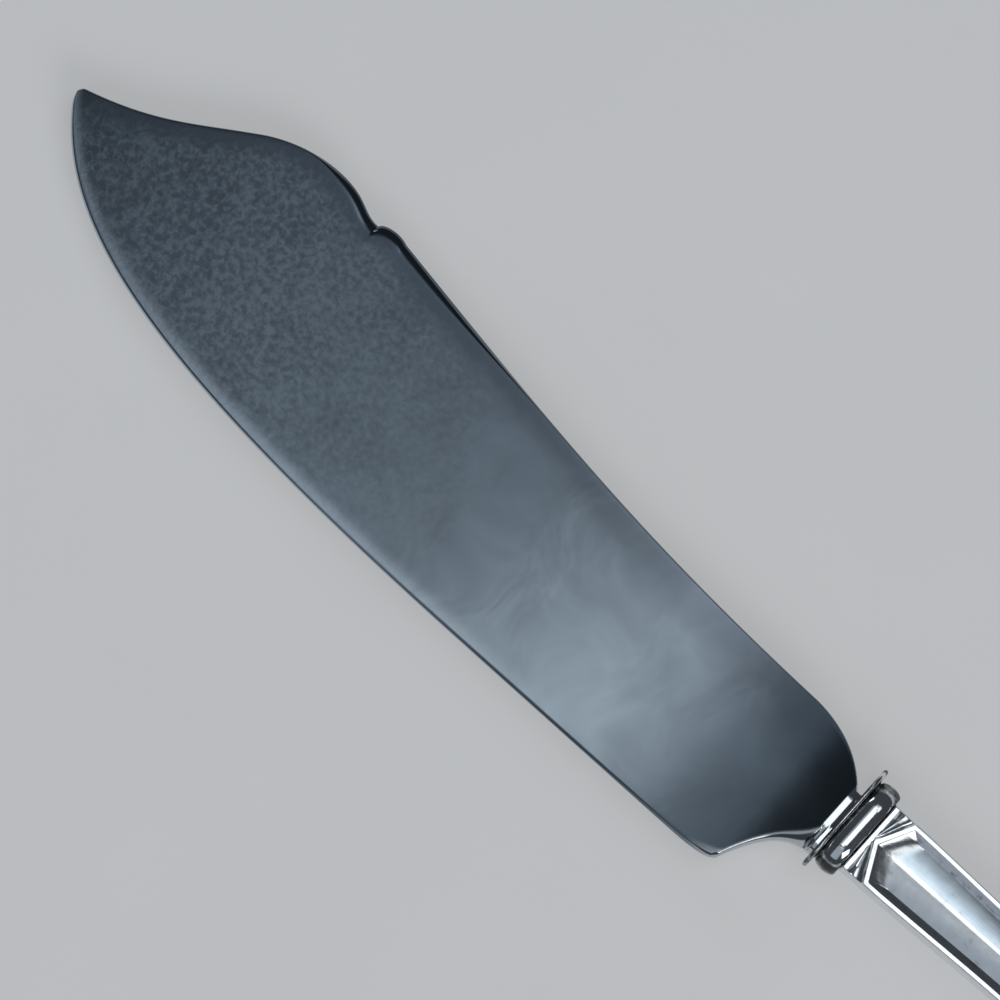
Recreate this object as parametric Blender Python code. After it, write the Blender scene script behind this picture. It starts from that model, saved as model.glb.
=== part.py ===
"""Butter knife with a soldered hollow handle.

The knife lies on its back and is built lengthwise along X, from the collar's front face at x = 0. The blade
points to -X and the handle runs to +X. Y points to the blade's spine, and z = 0 is the plane of the seam
between the two halves of the handle. All sizes are in metres.
"""

import math
from collections import namedtuple

import bmesh
import bpy
import numpy as np

# Blade outline, seen from above. Setbacks are measured from the collar's front face towards the tip,
# rises from the handle's axis towards the spine, and drops from the axis towards the cutting edge.
BLADE_LENGTH = 0.0844
TIP_RISE = 0.00236
TIP_WIDTH = 0.0010
TIP_ROUND = 0.0004
EDGE_DROP = 0.0100
BELLY_SETBACK = 0.0330
HEEL_SETBACK = 0.0054
HEEL_DROP = 0.0093
HEEL_ROUND = 0.0040
NECK_DROP = 0.00406
NECK_RISE = 0.00217
NECK_STRAIGHT = 0.0005
SHOULDER_SETBACK = 0.0076
SHOULDER_RISE = 0.0055
SPUR_LENGTH = 0.0013
SPUR_HEIGHT = 0.00023
NOTCH_SETBACK = 0.0577
NOTCH_RISE = 0.01097
NOTCH_DEPTH = 0.0006
NOTCH_LENGTH = 0.00145
CREST_SETBACK = 0.0645
CREST_RISE = 0.01158
CLIP_SETBACK = 0.0707
CLIP_RISE = 0.00989

# Blade thickness
HEEL_THICKNESS = 0.0024
TIP_THICKNESS = 0.0010
EDGE_THICKNESS = 0.00045
BEVEL_THICKNESS = 0.0009
BEVEL_WIDTH = 0.0011
SPINE_ROUND = 0.0010
NECK_THICKNESS = 0.0044
NECK_BLEND = 0.0065
FACE_SWEEP = 0.0165

# Collar: a thin flange, a groove, a round bead and a lip against the handle's mouth
FLANGE_LENGTH = 0.0004
FLANGE_WIDTH = 0.0100
COLLAR_GROOVE = 0.0004
COLLAR_WIDTH = 0.0078
COLLAR_THICKNESS = 0.0050
COLLAR_CORNER = 0.0022
BEAD_LENGTH = 0.00155
BEAD_WIDTH = 0.0087
BEAD_THICKNESS = 0.0058
LIP_LENGTH = 0.00015

# Handle outline and wall
HANDLE_LENGTH = 0.0909
HANDLE_THICKNESS = 0.0060
MOUTH_WIDTH = 0.0068
WAIST_WIDTH = 0.0061
WAIST_SETBACK = 0.0180
BUTT_WIDTH = 0.0135
BUTT_ROUND = 0.0078
WALL = 0.0005
SEAM_THICKNESS = 0.0002

# Framed panel on each face of the handle. Insets are measured in from the outline, and drops down from
# the panel's ridge, which is a narrow flat that tapers with the handle from its width at the butt.
SIDE_INSET = 0.00016
SIDE_DROP = 0.0012
RIM_INSET = 0.00042
RIM_DROP = 0.00045
GROOVE_INSET = 0.00095
GROOVE_DROP = 0.0008
PANEL_INSET = 0.00125
PANEL_DROP = 0.00065
RIDGE_WIDTH = 0.0022
MOUTH_DROP = 0.0010

# Front end of the panel: a rim straight across the mouth and a chevron that points at the blade, with a
# sunk corner between them on each side. The chevron's arms run back by CHEVRON_LEAN of their rise.
MOUTH_RIM_SETBACK = 0.0003
CHEVRON_SETBACK = 0.00065
CHEVRON_LEAN = 0.52
CHEVRON_RIM = 0.0004
CHEVRON_SLOPE = 0.0010
CORNER_DIP = 0.0004
CHEVRON_STEP = 0.0006
CHEVRON_FADE = 0.0060

# Tang and the cement that locks it in the handle
TANG_LENGTH = 0.0550
TANG_END_SHARE = 0.8
TANG_NOTCH_PLACES = (0.014, 0.026, 0.038)
TANG_NOTCH_LENGTH = 0.0040
TANG_NOTCH_DEPTH = 0.0004
TANG_CLEARANCE = 0.0003
CEMENT_COVER = 0.0004
CEMENT_GAP = 0.0003

# Fineness of the meshes
FACE_POINTS = 4
BODY_STEP = 0.0050
BUTT_STEPS = 8
CORNER_STEPS = 5
BEAD_STEPS = 8

MERGE = 0.000001

COLLAR_LENGTH = FLANGE_LENGTH + COLLAR_GROOVE + BEAD_LENGTH + LIP_LENGTH
SEAM = SEAM_THICKNESS / 2
RIDGE = HANDLE_THICKNESS / 2
RIM_HEIGHT = RIDGE - RIM_DROP
GROOVE_HEIGHT = RIDGE - GROOVE_DROP
PANEL_HEIGHT = RIDGE - PANEL_DROP
SIDE_HEIGHT = RIDGE - SIDE_DROP
MOUTH_HEIGHT = RIDGE - MOUTH_DROP
CEMENT_LOW_ROOF = GROOVE_HEIGHT - WALL - CEMENT_GAP
TANG_HALF_WIDTH = WAIST_WIDTH / 2 - WALL - CEMENT_GAP - CEMENT_COVER - TANG_CLEARANCE
TANG_HALF_THICKNESS = CEMENT_LOW_ROOF - CEMENT_COVER - TANG_CLEARANCE

# One line of points across the handle, from its outline to its ridge. A line with a lean runs back as it
# goes out. The level says how far in the frame reaches there: 0 outside the rim, 1 on the rim, 2 in the
# groove, 3 on the panel. Where the level is under 3, the height is the frame's, and it dips to the sides.
Row = namedtuple("Row", "outline inward ridge land lean level height dip")


def clear_scene():
    """Remove whatever the file holds."""
    for old in list(bpy.data.objects):
        bpy.data.objects.remove(old, do_unlink=True)


def make_material(name, colour, roughness, metallic):
    """A plain surface finish."""
    material = bpy.data.materials.new(name)
    material.use_nodes = True
    shader = material.node_tree.nodes["Principled BSDF"]
    shader.inputs["Base Color"].default_value = (*colour, 1.0)
    shader.inputs["Roughness"].default_value = roughness
    shader.inputs["Metallic"].default_value = metallic
    return material


def make_object(name, bm, material, parent):
    """Close a mesh, turn its faces outwards and hang it on the knife's empty."""
    bmesh.ops.remove_doubles(bm, verts=bm.verts, dist=MERGE)
    bmesh.ops.recalc_face_normals(bm, faces=bm.faces)
    mesh = bpy.data.meshes.new(name)
    bm.to_mesh(mesh)
    bm.free()
    mesh.shade_smooth()
    mesh.set_sharp_from_angle(angle=math.radians(30))
    mesh.materials.append(material)
    obj = bpy.data.objects.new(name, mesh)
    bpy.context.collection.objects.link(obj)
    obj.parent = parent
    return obj


def mirror(bm, axis):
    """Complete a half that is open on its mirror plane."""
    geometry = [*bm.verts, *bm.edges, *bm.faces]
    bmesh.ops.mirror(bm, geom=geometry, axis=axis, merge_dist=MERGE)


def add_row(bm, points):
    """A row of new vertices."""
    return [bm.verts.new(point) for point in points]


def skin(bm, rows, closed=False):
    """Faces between neighbouring rows of vertices."""
    for row, following in zip(rows, rows[1:]):
        columns = len(row) if closed else len(row) - 1
        for column in range(columns):
            beside = (column + 1) % len(row)
            bm.faces.new((row[column], row[beside], following[beside], following[column]))


def blend(low, high, share):
    """The value at a share of the way from low to high."""
    return low + (high - low) * share


def smooth(share):
    """A share eased at both ends, held between 0 and 1."""
    held = min(max(share, 0.0), 1.0)
    return held * held * (3 - 2 * held)


def curve(start, end, first, second, steps=24):
    """Points of a cubic curve. Its two handles are given as shares of its run and of its rise."""
    run = end[0] - start[0]
    rise = end[1] - start[1]
    leave = (start[0] + first[0] * run, start[1] + first[1] * rise)
    arrive = (start[0] + second[0] * run, start[1] + second[1] * rise)
    points = []
    for step in range(steps + 1):
        t = step / steps
        weights = ((1 - t) ** 3, 3 * t * (1 - t) ** 2, 3 * t * t * (1 - t), t ** 3)
        corners = (start, leave, arrive, end)
        points.append([sum(w * corner[axis] for w, corner in zip(weights, corners)) for axis in (0, 1)])
    return points


def spine_outline():
    """The blade's upper outline from the collar to the tip: shoulder, spine, spur, notch, crest and clip."""
    neck = (-NECK_STRAIGHT, NECK_RISE)
    shoulder = (-SHOULDER_SETBACK, SHOULDER_RISE)
    spur_foot = (SPUR_LENGTH - NOTCH_SETBACK, NOTCH_RISE - SPUR_HEIGHT)
    spur = (-NOTCH_SETBACK, NOTCH_RISE)
    notch = (-NOTCH_SETBACK - NOTCH_LENGTH, NOTCH_RISE - NOTCH_DEPTH)
    crest = (-CREST_SETBACK, CREST_RISE)
    clip = (-CLIP_SETBACK, CLIP_RISE)
    tip = (-BLADE_LENGTH, TIP_RISE + TIP_WIDTH / 2)
    return np.array(
        [(0.0, NECK_RISE)]
        + curve(neck, shoulder, (0.19, 0.52), (0.53, 0.94))
        + curve(shoulder, spur_foot, (0.375, 0.07), (0.575, 0.35))
        + curve(spur_foot, spur, (0.25, 0.5), (0.5, 1.0))
        + curve(spur, notch, (0.5, 0.1), (0.9, 0.4))
        + curve(notch, crest, (0.33, 0.0), (0.38, 1.0))
        + curve(crest, clip, (0.37, 0.0), (0.72, 0.42))
        + curve(clip, tip, (0.36, 0.43), (0.52, 0.74))
    )


def edge_outline():
    """The blade's lower outline from the collar to the tip: neck, heel, straight edge and belly."""
    neck = (-NECK_STRAIGHT / 2, -NECK_DROP)
    heel = (-HEEL_SETBACK, -HEEL_DROP)
    straight = (-HEEL_SETBACK - HEEL_ROUND, -EDGE_DROP)
    belly = (-BELLY_SETBACK, -EDGE_DROP)
    tip = (-BLADE_LENGTH, TIP_RISE - TIP_WIDTH / 2)
    return np.array(
        [(0.0, -NECK_DROP)]
        + curve(neck, heel, (0.49, 0.01), (0.755, 0.46))
        + curve(heel, straight, (0.09, 0.75), (0.5, 1.0))
        + curve(belly, tip, (0.65, 0.0), (0.89, 0.29), steps=48)
    )


def outline_height(outline, x):
    """The height of an outline that runs towards -X."""
    return float(np.interp(x, outline[::-1, 0], outline[::-1, 1]))


def blade_stations():
    """Places along the blade where its section is drawn, close together where the outline turns."""
    stretches = (
        (BLADE_LENGTH, CLIP_SETBACK, 12, 2.2),
        (CLIP_SETBACK, CREST_SETBACK, 3, 1.0),
        (CREST_SETBACK, NOTCH_SETBACK + NOTCH_LENGTH, 8, 1.0),
        (NOTCH_SETBACK + NOTCH_LENGTH, NOTCH_SETBACK, 5, 1.0),
        (NOTCH_SETBACK, NOTCH_SETBACK - SPUR_LENGTH, 4, 1.0),
        (NOTCH_SETBACK - SPUR_LENGTH, FACE_SWEEP, 12, 1.0),
        (FACE_SWEEP, HEEL_SETBACK, 9, 1.0),
        (HEEL_SETBACK, 0.0, 10, 1.0),
    )
    stations = [-BLADE_LENGTH]
    for start, end, count, crowding in stretches:
        for step in range(1, count + 1):
            stations.append(-blend(start, end, (step / count) ** crowding))
    return stations


def blade_half_thickness(x):
    """Half the blade's thickness at its spine, swept up to the neck over the last stretch."""
    along = min(max((x + BLADE_LENGTH) / (BLADE_LENGTH - FACE_SWEEP), 0.0), 1.0)
    plain = blend(TIP_THICKNESS, HEEL_THICKNESS, along) / 2
    sweep = max(0.0, 1 + x / FACE_SWEEP)
    return blend(plain, NECK_THICKNESS / 2, sweep ** 3 * (2 - sweep))


def tip_nose(x):
    """How much the rounding of the tip takes off each side of the blade."""
    radius = min(TIP_ROUND, 0.4 * TIP_WIDTH)
    short = max(0.0, 1 - (x + BLADE_LENGTH) / radius)
    return radius * (1 - math.sqrt(max(0.0, 1 - short ** 2)))


def blade_section(x, spine, edge):
    """Points of one face across the blade, from the cutting edge to the spine."""
    low = outline_height(edge, x) + tip_nose(x)
    high = outline_height(spine, x) - tip_nose(x)
    width = high - low
    thick = blade_half_thickness(x)
    thin = EDGE_THICKNESS / 2
    bevel = min(BEVEL_WIDTH, 0.3 * width)
    rounding = min(SPINE_ROUND, 0.3 * width)
    bevel_top = min(BEVEL_THICKNESS / 2, thick)
    face = [(low, thin), (low + 0.35 * bevel, blend(thin, bevel_top, 0.35))]
    for step in range(FACE_POINTS + 2):
        share = step / (FACE_POINTS + 1)
        face.append((blend(low + bevel, high - rounding, share), blend(bevel_top, thick, share)))
    face.append((high - 0.3 * rounding, 0.8 * thick))
    face.append((high, 0.35 * thick))
    into_neck = smooth(1 + x / NECK_BLEND)
    points = []
    for y, z in face:
        across = abs(2 * (y - low) / width - 1)
        round_z = NECK_THICKNESS / 2 * max(0.0, 1 - across ** 2.6) ** (1 / 2.6)
        points.append((x, y, max(thin, blend(z, round_z, into_neck))))
    return points


def tang_half_width(x):
    """Half the tang's width, with its taper and the notches that key it into the cement."""
    width = TANG_HALF_WIDTH * blend(1.0, TANG_END_SHARE, x / TANG_LENGTH)
    for place in TANG_NOTCH_PLACES:
        if abs(x - place) < TANG_NOTCH_LENGTH / 4:
            width -= TANG_NOTCH_DEPTH
    return width


def tang_stations():
    """Ends of the tang and the corners of its notches."""
    stations = []
    for place in TANG_NOTCH_PLACES:
        stations += [place + share * TANG_NOTCH_LENGTH for share in (-0.5, -0.24, 0.24, 0.5)]
    return [0.0, *stations, TANG_LENGTH]


def tang_section(x, count):
    """Points of one face across the tang."""
    half = tang_half_width(x)
    return [(x, blend(-half, half, step / (count - 1)), TANG_HALF_THICKNESS) for step in range(count)]


def both_faces(points):
    """A closed ring from the points of the upper face and their images on the lower one."""
    return points + [(x, y, -z) for x, y, z in reversed(points)]


def build_blade(material, parent):
    """One forging: blade, neck, shoulder and notched tang."""
    bm = bmesh.new()
    spine = spine_outline()
    edge = edge_outline()
    sections = [blade_section(x, spine, edge) for x in blade_stations()]
    count = len(sections[0])
    sections += [tang_section(x, count) for x in tang_stations()]
    rings = [add_row(bm, both_faces(section)) for section in sections]
    skin(bm, rings, closed=True)
    bm.faces.new(rings[0])
    bm.faces.new(rings[-1])
    return make_object("blade", bm, material, parent)


def collar_stations():
    """Places along the collar with its half width and half thickness there."""
    core = (COLLAR_WIDTH / 2, COLLAR_THICKNESS / 2)
    flange = (FLANGE_WIDTH / 2, RIDGE)
    bead = (BEAD_WIDTH / 2, BEAD_THICKNESS / 2)
    bead_start = FLANGE_LENGTH + COLLAR_GROOVE
    edge = FLANGE_LENGTH / 4
    stations = [
        (0.0, flange[0] - edge, flange[1] - edge),
        (edge, *flange),
        (FLANGE_LENGTH - edge, *flange),
        (FLANGE_LENGTH, flange[0] - edge, flange[1] - edge),
        (FLANGE_LENGTH, *core),
    ]
    for step in range(BEAD_STEPS + 1):
        turn = math.pi * step / BEAD_STEPS
        x = bead_start + BEAD_LENGTH * (1 - math.cos(turn)) / 2
        swell = math.sin(turn)
        stations.append((x, blend(core[0], bead[0], swell), blend(core[1], bead[1], swell)))
    stations.append((COLLAR_LENGTH, *core))
    return stations


def quarter_ring(x, half_width, half_thickness):
    """A quarter of a rounded oblong, from its side to its top."""
    corner = min(COLLAR_CORNER, 0.95 * half_thickness)
    points = [(x, half_width, 0.0)]
    for step in range(CORNER_STEPS + 1):
        turn = math.pi / 2 * step / CORNER_STEPS
        y = half_width - corner + corner * math.cos(turn)
        points.append((x, y, half_thickness - corner + corner * math.sin(turn)))
    points.append((x, 0.0, half_thickness))
    return points


def build_collar(material, parent):
    """The ferrule at the handle's mouth, with the bore that the tang passes."""
    bm = bmesh.new()
    rows = [add_row(bm, quarter_ring(*station)) for station in collar_stations()]
    skin(bm, rows)
    half_width = TANG_HALF_WIDTH + TANG_CLEARANCE
    half_height = TANG_HALF_THICKNESS + TANG_CLEARANCE
    bore = []
    for x in (0.0, COLLAR_LENGTH):
        bore.append(add_row(bm, [(x, half_width, 0.0), (x, half_width, half_height), (x, 0.0, half_height)]))
    skin(bm, bore)
    bm.faces.new(rows[0] + bore[0][::-1])
    bm.faces.new(rows[-1] + bore[1][::-1])
    mirror(bm, "Y")
    mirror(bm, "Z")
    return make_object("collar", bm, material, parent)


def handle_half_width(x):
    """Half the handle's width from its mouth through its waist to the widest place before the butt."""
    waist = COLLAR_LENGTH + WAIST_SETBACK
    widest = COLLAR_LENGTH + HANDLE_LENGTH - BUTT_ROUND
    if x < waist:
        return blend(MOUTH_WIDTH, WAIST_WIDTH, smooth((x - COLLAR_LENGTH) / WAIST_SETBACK)) / 2
    return blend(WAIST_WIDTH, BUTT_WIDTH, smooth((x - waist) / (widest - waist))) / 2


def cross_row(setback, lean=0.0, level=3, height=RIDGE, dip=0.0):
    """A row across the handle that meets its axis at a distance behind the mouth."""
    x = COLLAR_LENGTH + setback
    y = handle_half_width(x + lean * handle_half_width(x))
    land_y = y * RIDGE_WIDTH / BUTT_WIDTH
    land = (x + lean * land_y, land_y)
    return Row((x + lean * y, y), (0.0, -1.0), (x, 0.0), land, lean, level, height, dip)


def body_rows(start):
    """Square rows from a distance behind the mouth to the butt, then rows that turn round the butt."""
    straight = HANDLE_LENGTH - BUTT_ROUND
    count = max(2, round((straight - start) / BODY_STEP))
    rows = []
    for step in range(1, count + 1):
        rows.append(cross_row(blend(start, straight, step / count)))
    centre = COLLAR_LENGTH + straight
    for step in range(1, BUTT_STEPS + 1):
        turn = math.pi / 2 * step / BUTT_STEPS
        outline = (centre + BUTT_ROUND * math.sin(turn), BUTT_WIDTH / 2 * math.cos(turn))
        slope = (math.sin(turn) / BUTT_ROUND, math.cos(turn) / (BUTT_WIDTH / 2))
        length = math.hypot(*slope)
        inward = (-slope[0] / length, -slope[1] / length)
        land = (centre + RIDGE_WIDTH / 2 * math.sin(turn), RIDGE_WIDTH / 2 * math.cos(turn))
        rows.append(Row(outline, inward, (centre, 0.0), land, 0.0, 3, RIDGE, 0.0))
    return rows


def shell_rows():
    """Rows of a half shell: its mouth, the rim across it, the chevron and the body behind them."""
    rim_back = CHEVRON_SETBACK + CHEVRON_RIM
    groove = rim_back + CHEVRON_SLOPE
    panel = groove + CHEVRON_STEP
    corner = (MOUTH_RIM_SETBACK + CHEVRON_SETBACK) / 2
    rows = [
        cross_row(0.0, 0.0, 0, MOUTH_HEIGHT),
        cross_row(MOUTH_RIM_SETBACK, 0.0, 1, RIM_HEIGHT),
        cross_row(corner, CHEVRON_LEAN / 2, 1, RIM_HEIGHT, CORNER_DIP),
        cross_row(CHEVRON_SETBACK, CHEVRON_LEAN, 1, RIM_HEIGHT),
        cross_row(rim_back, CHEVRON_LEAN, 1, RIM_HEIGHT),
        cross_row(groove, 0.8 * CHEVRON_LEAN, 2, GROOVE_HEIGHT),
        cross_row(panel, 0.75 * CHEVRON_LEAN),
    ]
    for share in (1 / 3, 2 / 3, 1.0):
        rows.append(cross_row(panel + share * CHEVRON_FADE, 0.75 * CHEVRON_LEAN * (1 - share) ** 1.5))
    return rows + body_rows(panel + CHEVRON_FADE)


def inset(row, distance):
    """The point of a row at a distance in from the outline."""
    x = row.outline[0] + (row.inward[0] - row.lean) * distance
    return x, row.outline[1] + row.inward[1] * distance


def frame_height(row, y):
    """The height of the frame along a row at its level."""
    return row.height - row.dip * abs(y) / row.outline[1]


def outer_line(row):
    """Points of the framed outside along one row, from the seam to the ridge."""
    columns = (
        (0.0, SEAM, 0),
        (0.25 * SIDE_INSET, 0.55 * SIDE_HEIGHT, 0),
        (SIDE_INSET, SIDE_HEIGHT, 0),
        (blend(SIDE_INSET, RIM_INSET, 0.4), blend(SIDE_HEIGHT, RIM_HEIGHT, 0.75), 0),
        (RIM_INSET, RIM_HEIGHT, 1),
        (GROOVE_INSET, GROOVE_HEIGHT, 2),
        (PANEL_INSET, PANEL_HEIGHT, 3),
    )
    places = [(*inset(row, distance), height, level) for distance, height, level in columns]
    edge = places[-1]
    for share in (0.5, 1.0):
        x = blend(edge[0], row.land[0], share)
        places.append((x, blend(edge[1], row.land[1], share), blend(PANEL_HEIGHT, RIDGE, share), 3))
    places.append((*row.ridge, RIDGE, 3))
    points = []
    for x, y, height, level in places:
        if row.level < 3:
            frame = frame_height(row, y)
            height = frame if row.level < level else min(height, frame)
        points.append((x, y, height))
    return points


def inner_line(row, depth, floor):
    """Points of a plain skin that lies at a depth inside the outside, from a floor to the ridge."""
    columns = (
        (depth, floor),
        (depth + 0.25 * SIDE_INSET, blend(floor, SIDE_HEIGHT - depth, 0.55)),
        (depth + SIDE_INSET, SIDE_HEIGHT - depth),
        (depth + blend(SIDE_INSET, RIM_INSET, 0.4), blend(SIDE_HEIGHT, GROOVE_HEIGHT, 0.75) - depth),
        (depth + RIM_INSET, GROOVE_HEIGHT - depth),
        (depth + GROOVE_INSET, GROOVE_HEIGHT - depth),
        (depth + PANEL_INSET, GROOVE_HEIGHT - depth),
    )
    places = [(*inset(row, distance), height) for distance, height in columns]
    edge = places[-1]
    for share in (0.5, 1.0):
        x = blend(edge[0], row.land[0], share)
        y = blend(edge[1], row.land[1], share)
        places.append((x, y, blend(GROOVE_HEIGHT, RIDGE, share) - depth))
    places.append((*row.ridge, RIDGE - depth))
    if row.level == 3:
        return places
    return [(x, y, min(height, frame_height(row, y) - depth)) for x, y, height in places]


def build_shell(name, side, material, parent):
    """A stamped half of the handle, on the upper side of the seam or on the lower one."""
    bm = bmesh.new()
    rows = shell_rows()
    outer = [add_row(bm, outer_line(row)) for row in rows]
    inner = [add_row(bm, inner_line(row, WALL, SEAM)) for row in rows]
    skin(bm, outer)
    skin(bm, inner)
    skin(bm, [[line[0] for line in outer], [line[0] for line in inner]])
    skin(bm, [outer[0], inner[0]])
    mirror(bm, "Y")
    bmesh.ops.scale(bm, vec=(1.0, 1.0, side), verts=bm.verts)
    return make_object(name, bm, material, parent)


def build_solder(material, parent):
    """The thin strip of solder that joins the two halves round their seam."""
    bm = bmesh.new()
    rows = shell_rows()
    lines = []
    for distance, height in ((0.0, SEAM), (WALL, SEAM), (WALL, -SEAM), (0.0, -SEAM)):
        lines.append(add_row(bm, [(*inset(row, distance), height) for row in rows]))
    skin(bm, [*lines, lines[0]])
    bm.faces.new([line[0] for line in lines])
    mirror(bm, "Y")
    return make_object("seam_solder", bm, material, parent)


def build_cement(material, parent):
    """The set cement inside the handle, with the pocket that holds the notched tang."""
    bm = bmesh.new()
    depth = WALL + CEMENT_GAP
    chevron = CHEVRON_SETBACK + CHEVRON_RIM + CHEVRON_SLOPE + CHEVRON_STEP
    low_roof = CEMENT_LOW_ROOF + depth
    front = [cross_row(setback, 0.0, 0, low_roof) for setback in (CEMENT_GAP, chevron)]
    rows = front + body_rows(chevron)
    lines = [add_row(bm, inner_line(row, depth, 0.0)) for row in rows]
    skin(bm, lines)
    start = COLLAR_LENGTH + CEMENT_GAP
    half_height = TANG_HALF_THICKNESS + TANG_CLEARANCE
    pocket = []
    for x in [start, *tang_stations()[1:-1], TANG_LENGTH + TANG_CLEARANCE]:
        half_width = tang_half_width(min(x, TANG_LENGTH)) + TANG_CLEARANCE
        corners = [(x, half_width, 0.0), (x, half_width, half_height), (x, 0.0, half_height)]
        pocket.append(add_row(bm, corners))
    skin(bm, pocket)
    bm.faces.new(lines[0] + pocket[0][::-1])
    bm.faces.new([*pocket[-1], bm.verts.new((TANG_LENGTH + TANG_CLEARANCE, 0.0, 0.0))])
    mirror(bm, "Y")
    mirror(bm, "Z")
    return make_object("cement_filler", bm, material, parent)


def stand_on_origin(pieces, parent):
    """Move the knife so that the middle of its underside is the origin."""
    corners = np.array([vertex.co for piece in pieces for vertex in piece.data.vertices])
    low = corners.min(axis=0)
    high = corners.max(axis=0)
    parent.location = (-(low[0] + high[0]) / 2, -(low[1] + high[1]) / 2, -low[2])


def main():
    """Build the six pieces and stand the knife on its back."""
    clear_scene()
    steel = make_material("satin_steel", (0.33, 0.38, 0.43), 0.38, 1.0)
    silver = make_material("worn_silver", (0.80, 0.83, 0.85), 0.20, 1.0)
    bead_silver = make_material("collar_silver", (0.80, 0.83, 0.85), 0.14, 1.0)
    solder = make_material("silver_solder", (0.66, 0.67, 0.66), 0.35, 1.0)
    cement = make_material("grey_cement", (0.30, 0.27, 0.24), 0.90, 0.0)
    knife = bpy.data.objects.new("butter_knife", None)
    bpy.context.collection.objects.link(knife)
    pieces = [
        build_blade(steel, knife),
        build_collar(bead_silver, knife),
        build_shell("handle_front_shell", 1.0, silver, knife),
        build_shell("handle_back_shell", -1.0, silver, knife),
        build_solder(solder, knife),
        build_cement(cement, knife),
    ]
    stand_on_origin(pieces, knife)


main()
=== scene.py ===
"""Looks of a butter knife with a soldered hollow handle.

The knife lies on its back. Its blade, collar, handle shells and seam are rebuilt here as fine meshes on the
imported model, with finishes of satin steel, worn silver, dull solder and cement. Lengths are in metres. Local
coordinates start on the handle's axis at the collar's front face: the blade points to -X, the handle runs to
+X, Y points to the spine, and z = 0 is the plane of the seam.
"""

import math
from collections import namedtuple

import bmesh
import bpy
import numpy as np
from bpy.props import FloatProperty, FloatVectorProperty, PointerProperty
from bpy.types import Operator, Panel, PropertyGroup
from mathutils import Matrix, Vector


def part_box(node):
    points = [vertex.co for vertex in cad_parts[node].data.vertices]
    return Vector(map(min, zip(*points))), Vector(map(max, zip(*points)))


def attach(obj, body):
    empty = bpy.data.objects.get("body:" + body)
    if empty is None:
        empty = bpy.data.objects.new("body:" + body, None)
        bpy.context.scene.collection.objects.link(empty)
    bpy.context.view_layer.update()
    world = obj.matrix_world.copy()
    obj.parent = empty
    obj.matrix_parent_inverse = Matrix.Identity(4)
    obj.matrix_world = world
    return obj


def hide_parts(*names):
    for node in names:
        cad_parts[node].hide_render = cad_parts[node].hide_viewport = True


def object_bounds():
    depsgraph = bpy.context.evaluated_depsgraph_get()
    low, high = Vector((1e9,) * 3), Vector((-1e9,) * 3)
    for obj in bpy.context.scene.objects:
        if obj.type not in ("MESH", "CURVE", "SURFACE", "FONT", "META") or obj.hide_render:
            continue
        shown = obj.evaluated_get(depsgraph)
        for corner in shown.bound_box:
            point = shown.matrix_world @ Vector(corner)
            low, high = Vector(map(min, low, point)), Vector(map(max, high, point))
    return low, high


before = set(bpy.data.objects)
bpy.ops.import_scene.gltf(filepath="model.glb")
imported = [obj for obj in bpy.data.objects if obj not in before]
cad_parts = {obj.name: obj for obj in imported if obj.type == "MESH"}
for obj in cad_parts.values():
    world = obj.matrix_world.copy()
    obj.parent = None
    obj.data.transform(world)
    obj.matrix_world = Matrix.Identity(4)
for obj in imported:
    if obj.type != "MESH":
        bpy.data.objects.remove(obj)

bl_info = {
    "name": "Hollow-Handled Butter Knife",
    "version": (1, 0, 0),
    "blender": (4, 5, 0),
    "location": "View3D > Sidebar > Butter Knife",
    "description": "Fine meshes and metal finishes for a butter knife with a panelled hollow handle",
    "category": "Object",
}

CAD_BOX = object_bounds()
BLADE_LOW, BLADE_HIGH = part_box("blade")
COLLAR_LOW, COLLAR_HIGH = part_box("collar")
SHELL_LOW, SHELL_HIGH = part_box("handle_front_shell")
SOLDER_LOW, SOLDER_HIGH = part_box("seam_solder")

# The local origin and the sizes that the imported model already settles
ORIGIN = Vector((COLLAR_LOW.x, (COLLAR_LOW.y + COLLAR_HIGH.y) / 2, (COLLAR_LOW.z + COLLAR_HIGH.z) / 2))
BLADE_LENGTH = ORIGIN.x - BLADE_LOW.x
TANG_LENGTH = BLADE_HIGH.x - ORIGIN.x
EDGE_DROP = ORIGIN.y - BLADE_LOW.y
CREST_RISE = BLADE_HIGH.y - ORIGIN.y
COLLAR_LENGTH = COLLAR_HIGH.x - COLLAR_LOW.x
FLANGE_WIDTH = COLLAR_HIGH.y - COLLAR_LOW.y
FLANGE_THICKNESS = COLLAR_HIGH.z - COLLAR_LOW.z
HANDLE_LENGTH = SHELL_HIGH.x - SHELL_LOW.x
BUTT_WIDTH = SHELL_HIGH.y - SHELL_LOW.y
RIDGE = SHELL_HIGH.z - ORIGIN.z
SEAM_THICKNESS = SOLDER_HIGH.z - SOLDER_LOW.z
SEAM = SEAM_THICKNESS / 2


def size(name, description, default):
    """A length that a user can change."""
    return FloatProperty(name=name, description=description, default=default, unit="LENGTH", precision=6)


def share(name, description, default):
    """A share from none to all."""
    return FloatProperty(name=name, description=description, default=default, min=0, max=1, subtype="FACTOR")


def number(name, description, default):
    """A plain number."""
    return FloatProperty(name=name, description=description, default=default, precision=3)


def angle(name, description, degrees):
    """An angle, given in degrees."""
    return FloatProperty(name=name, description=description, default=math.radians(degrees), subtype="ANGLE")


def shade(name, description, default):
    """A linear colour."""
    return FloatVectorProperty(name=name, description=description, default=default, min=0, max=1,
                               subtype="COLOR")


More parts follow.
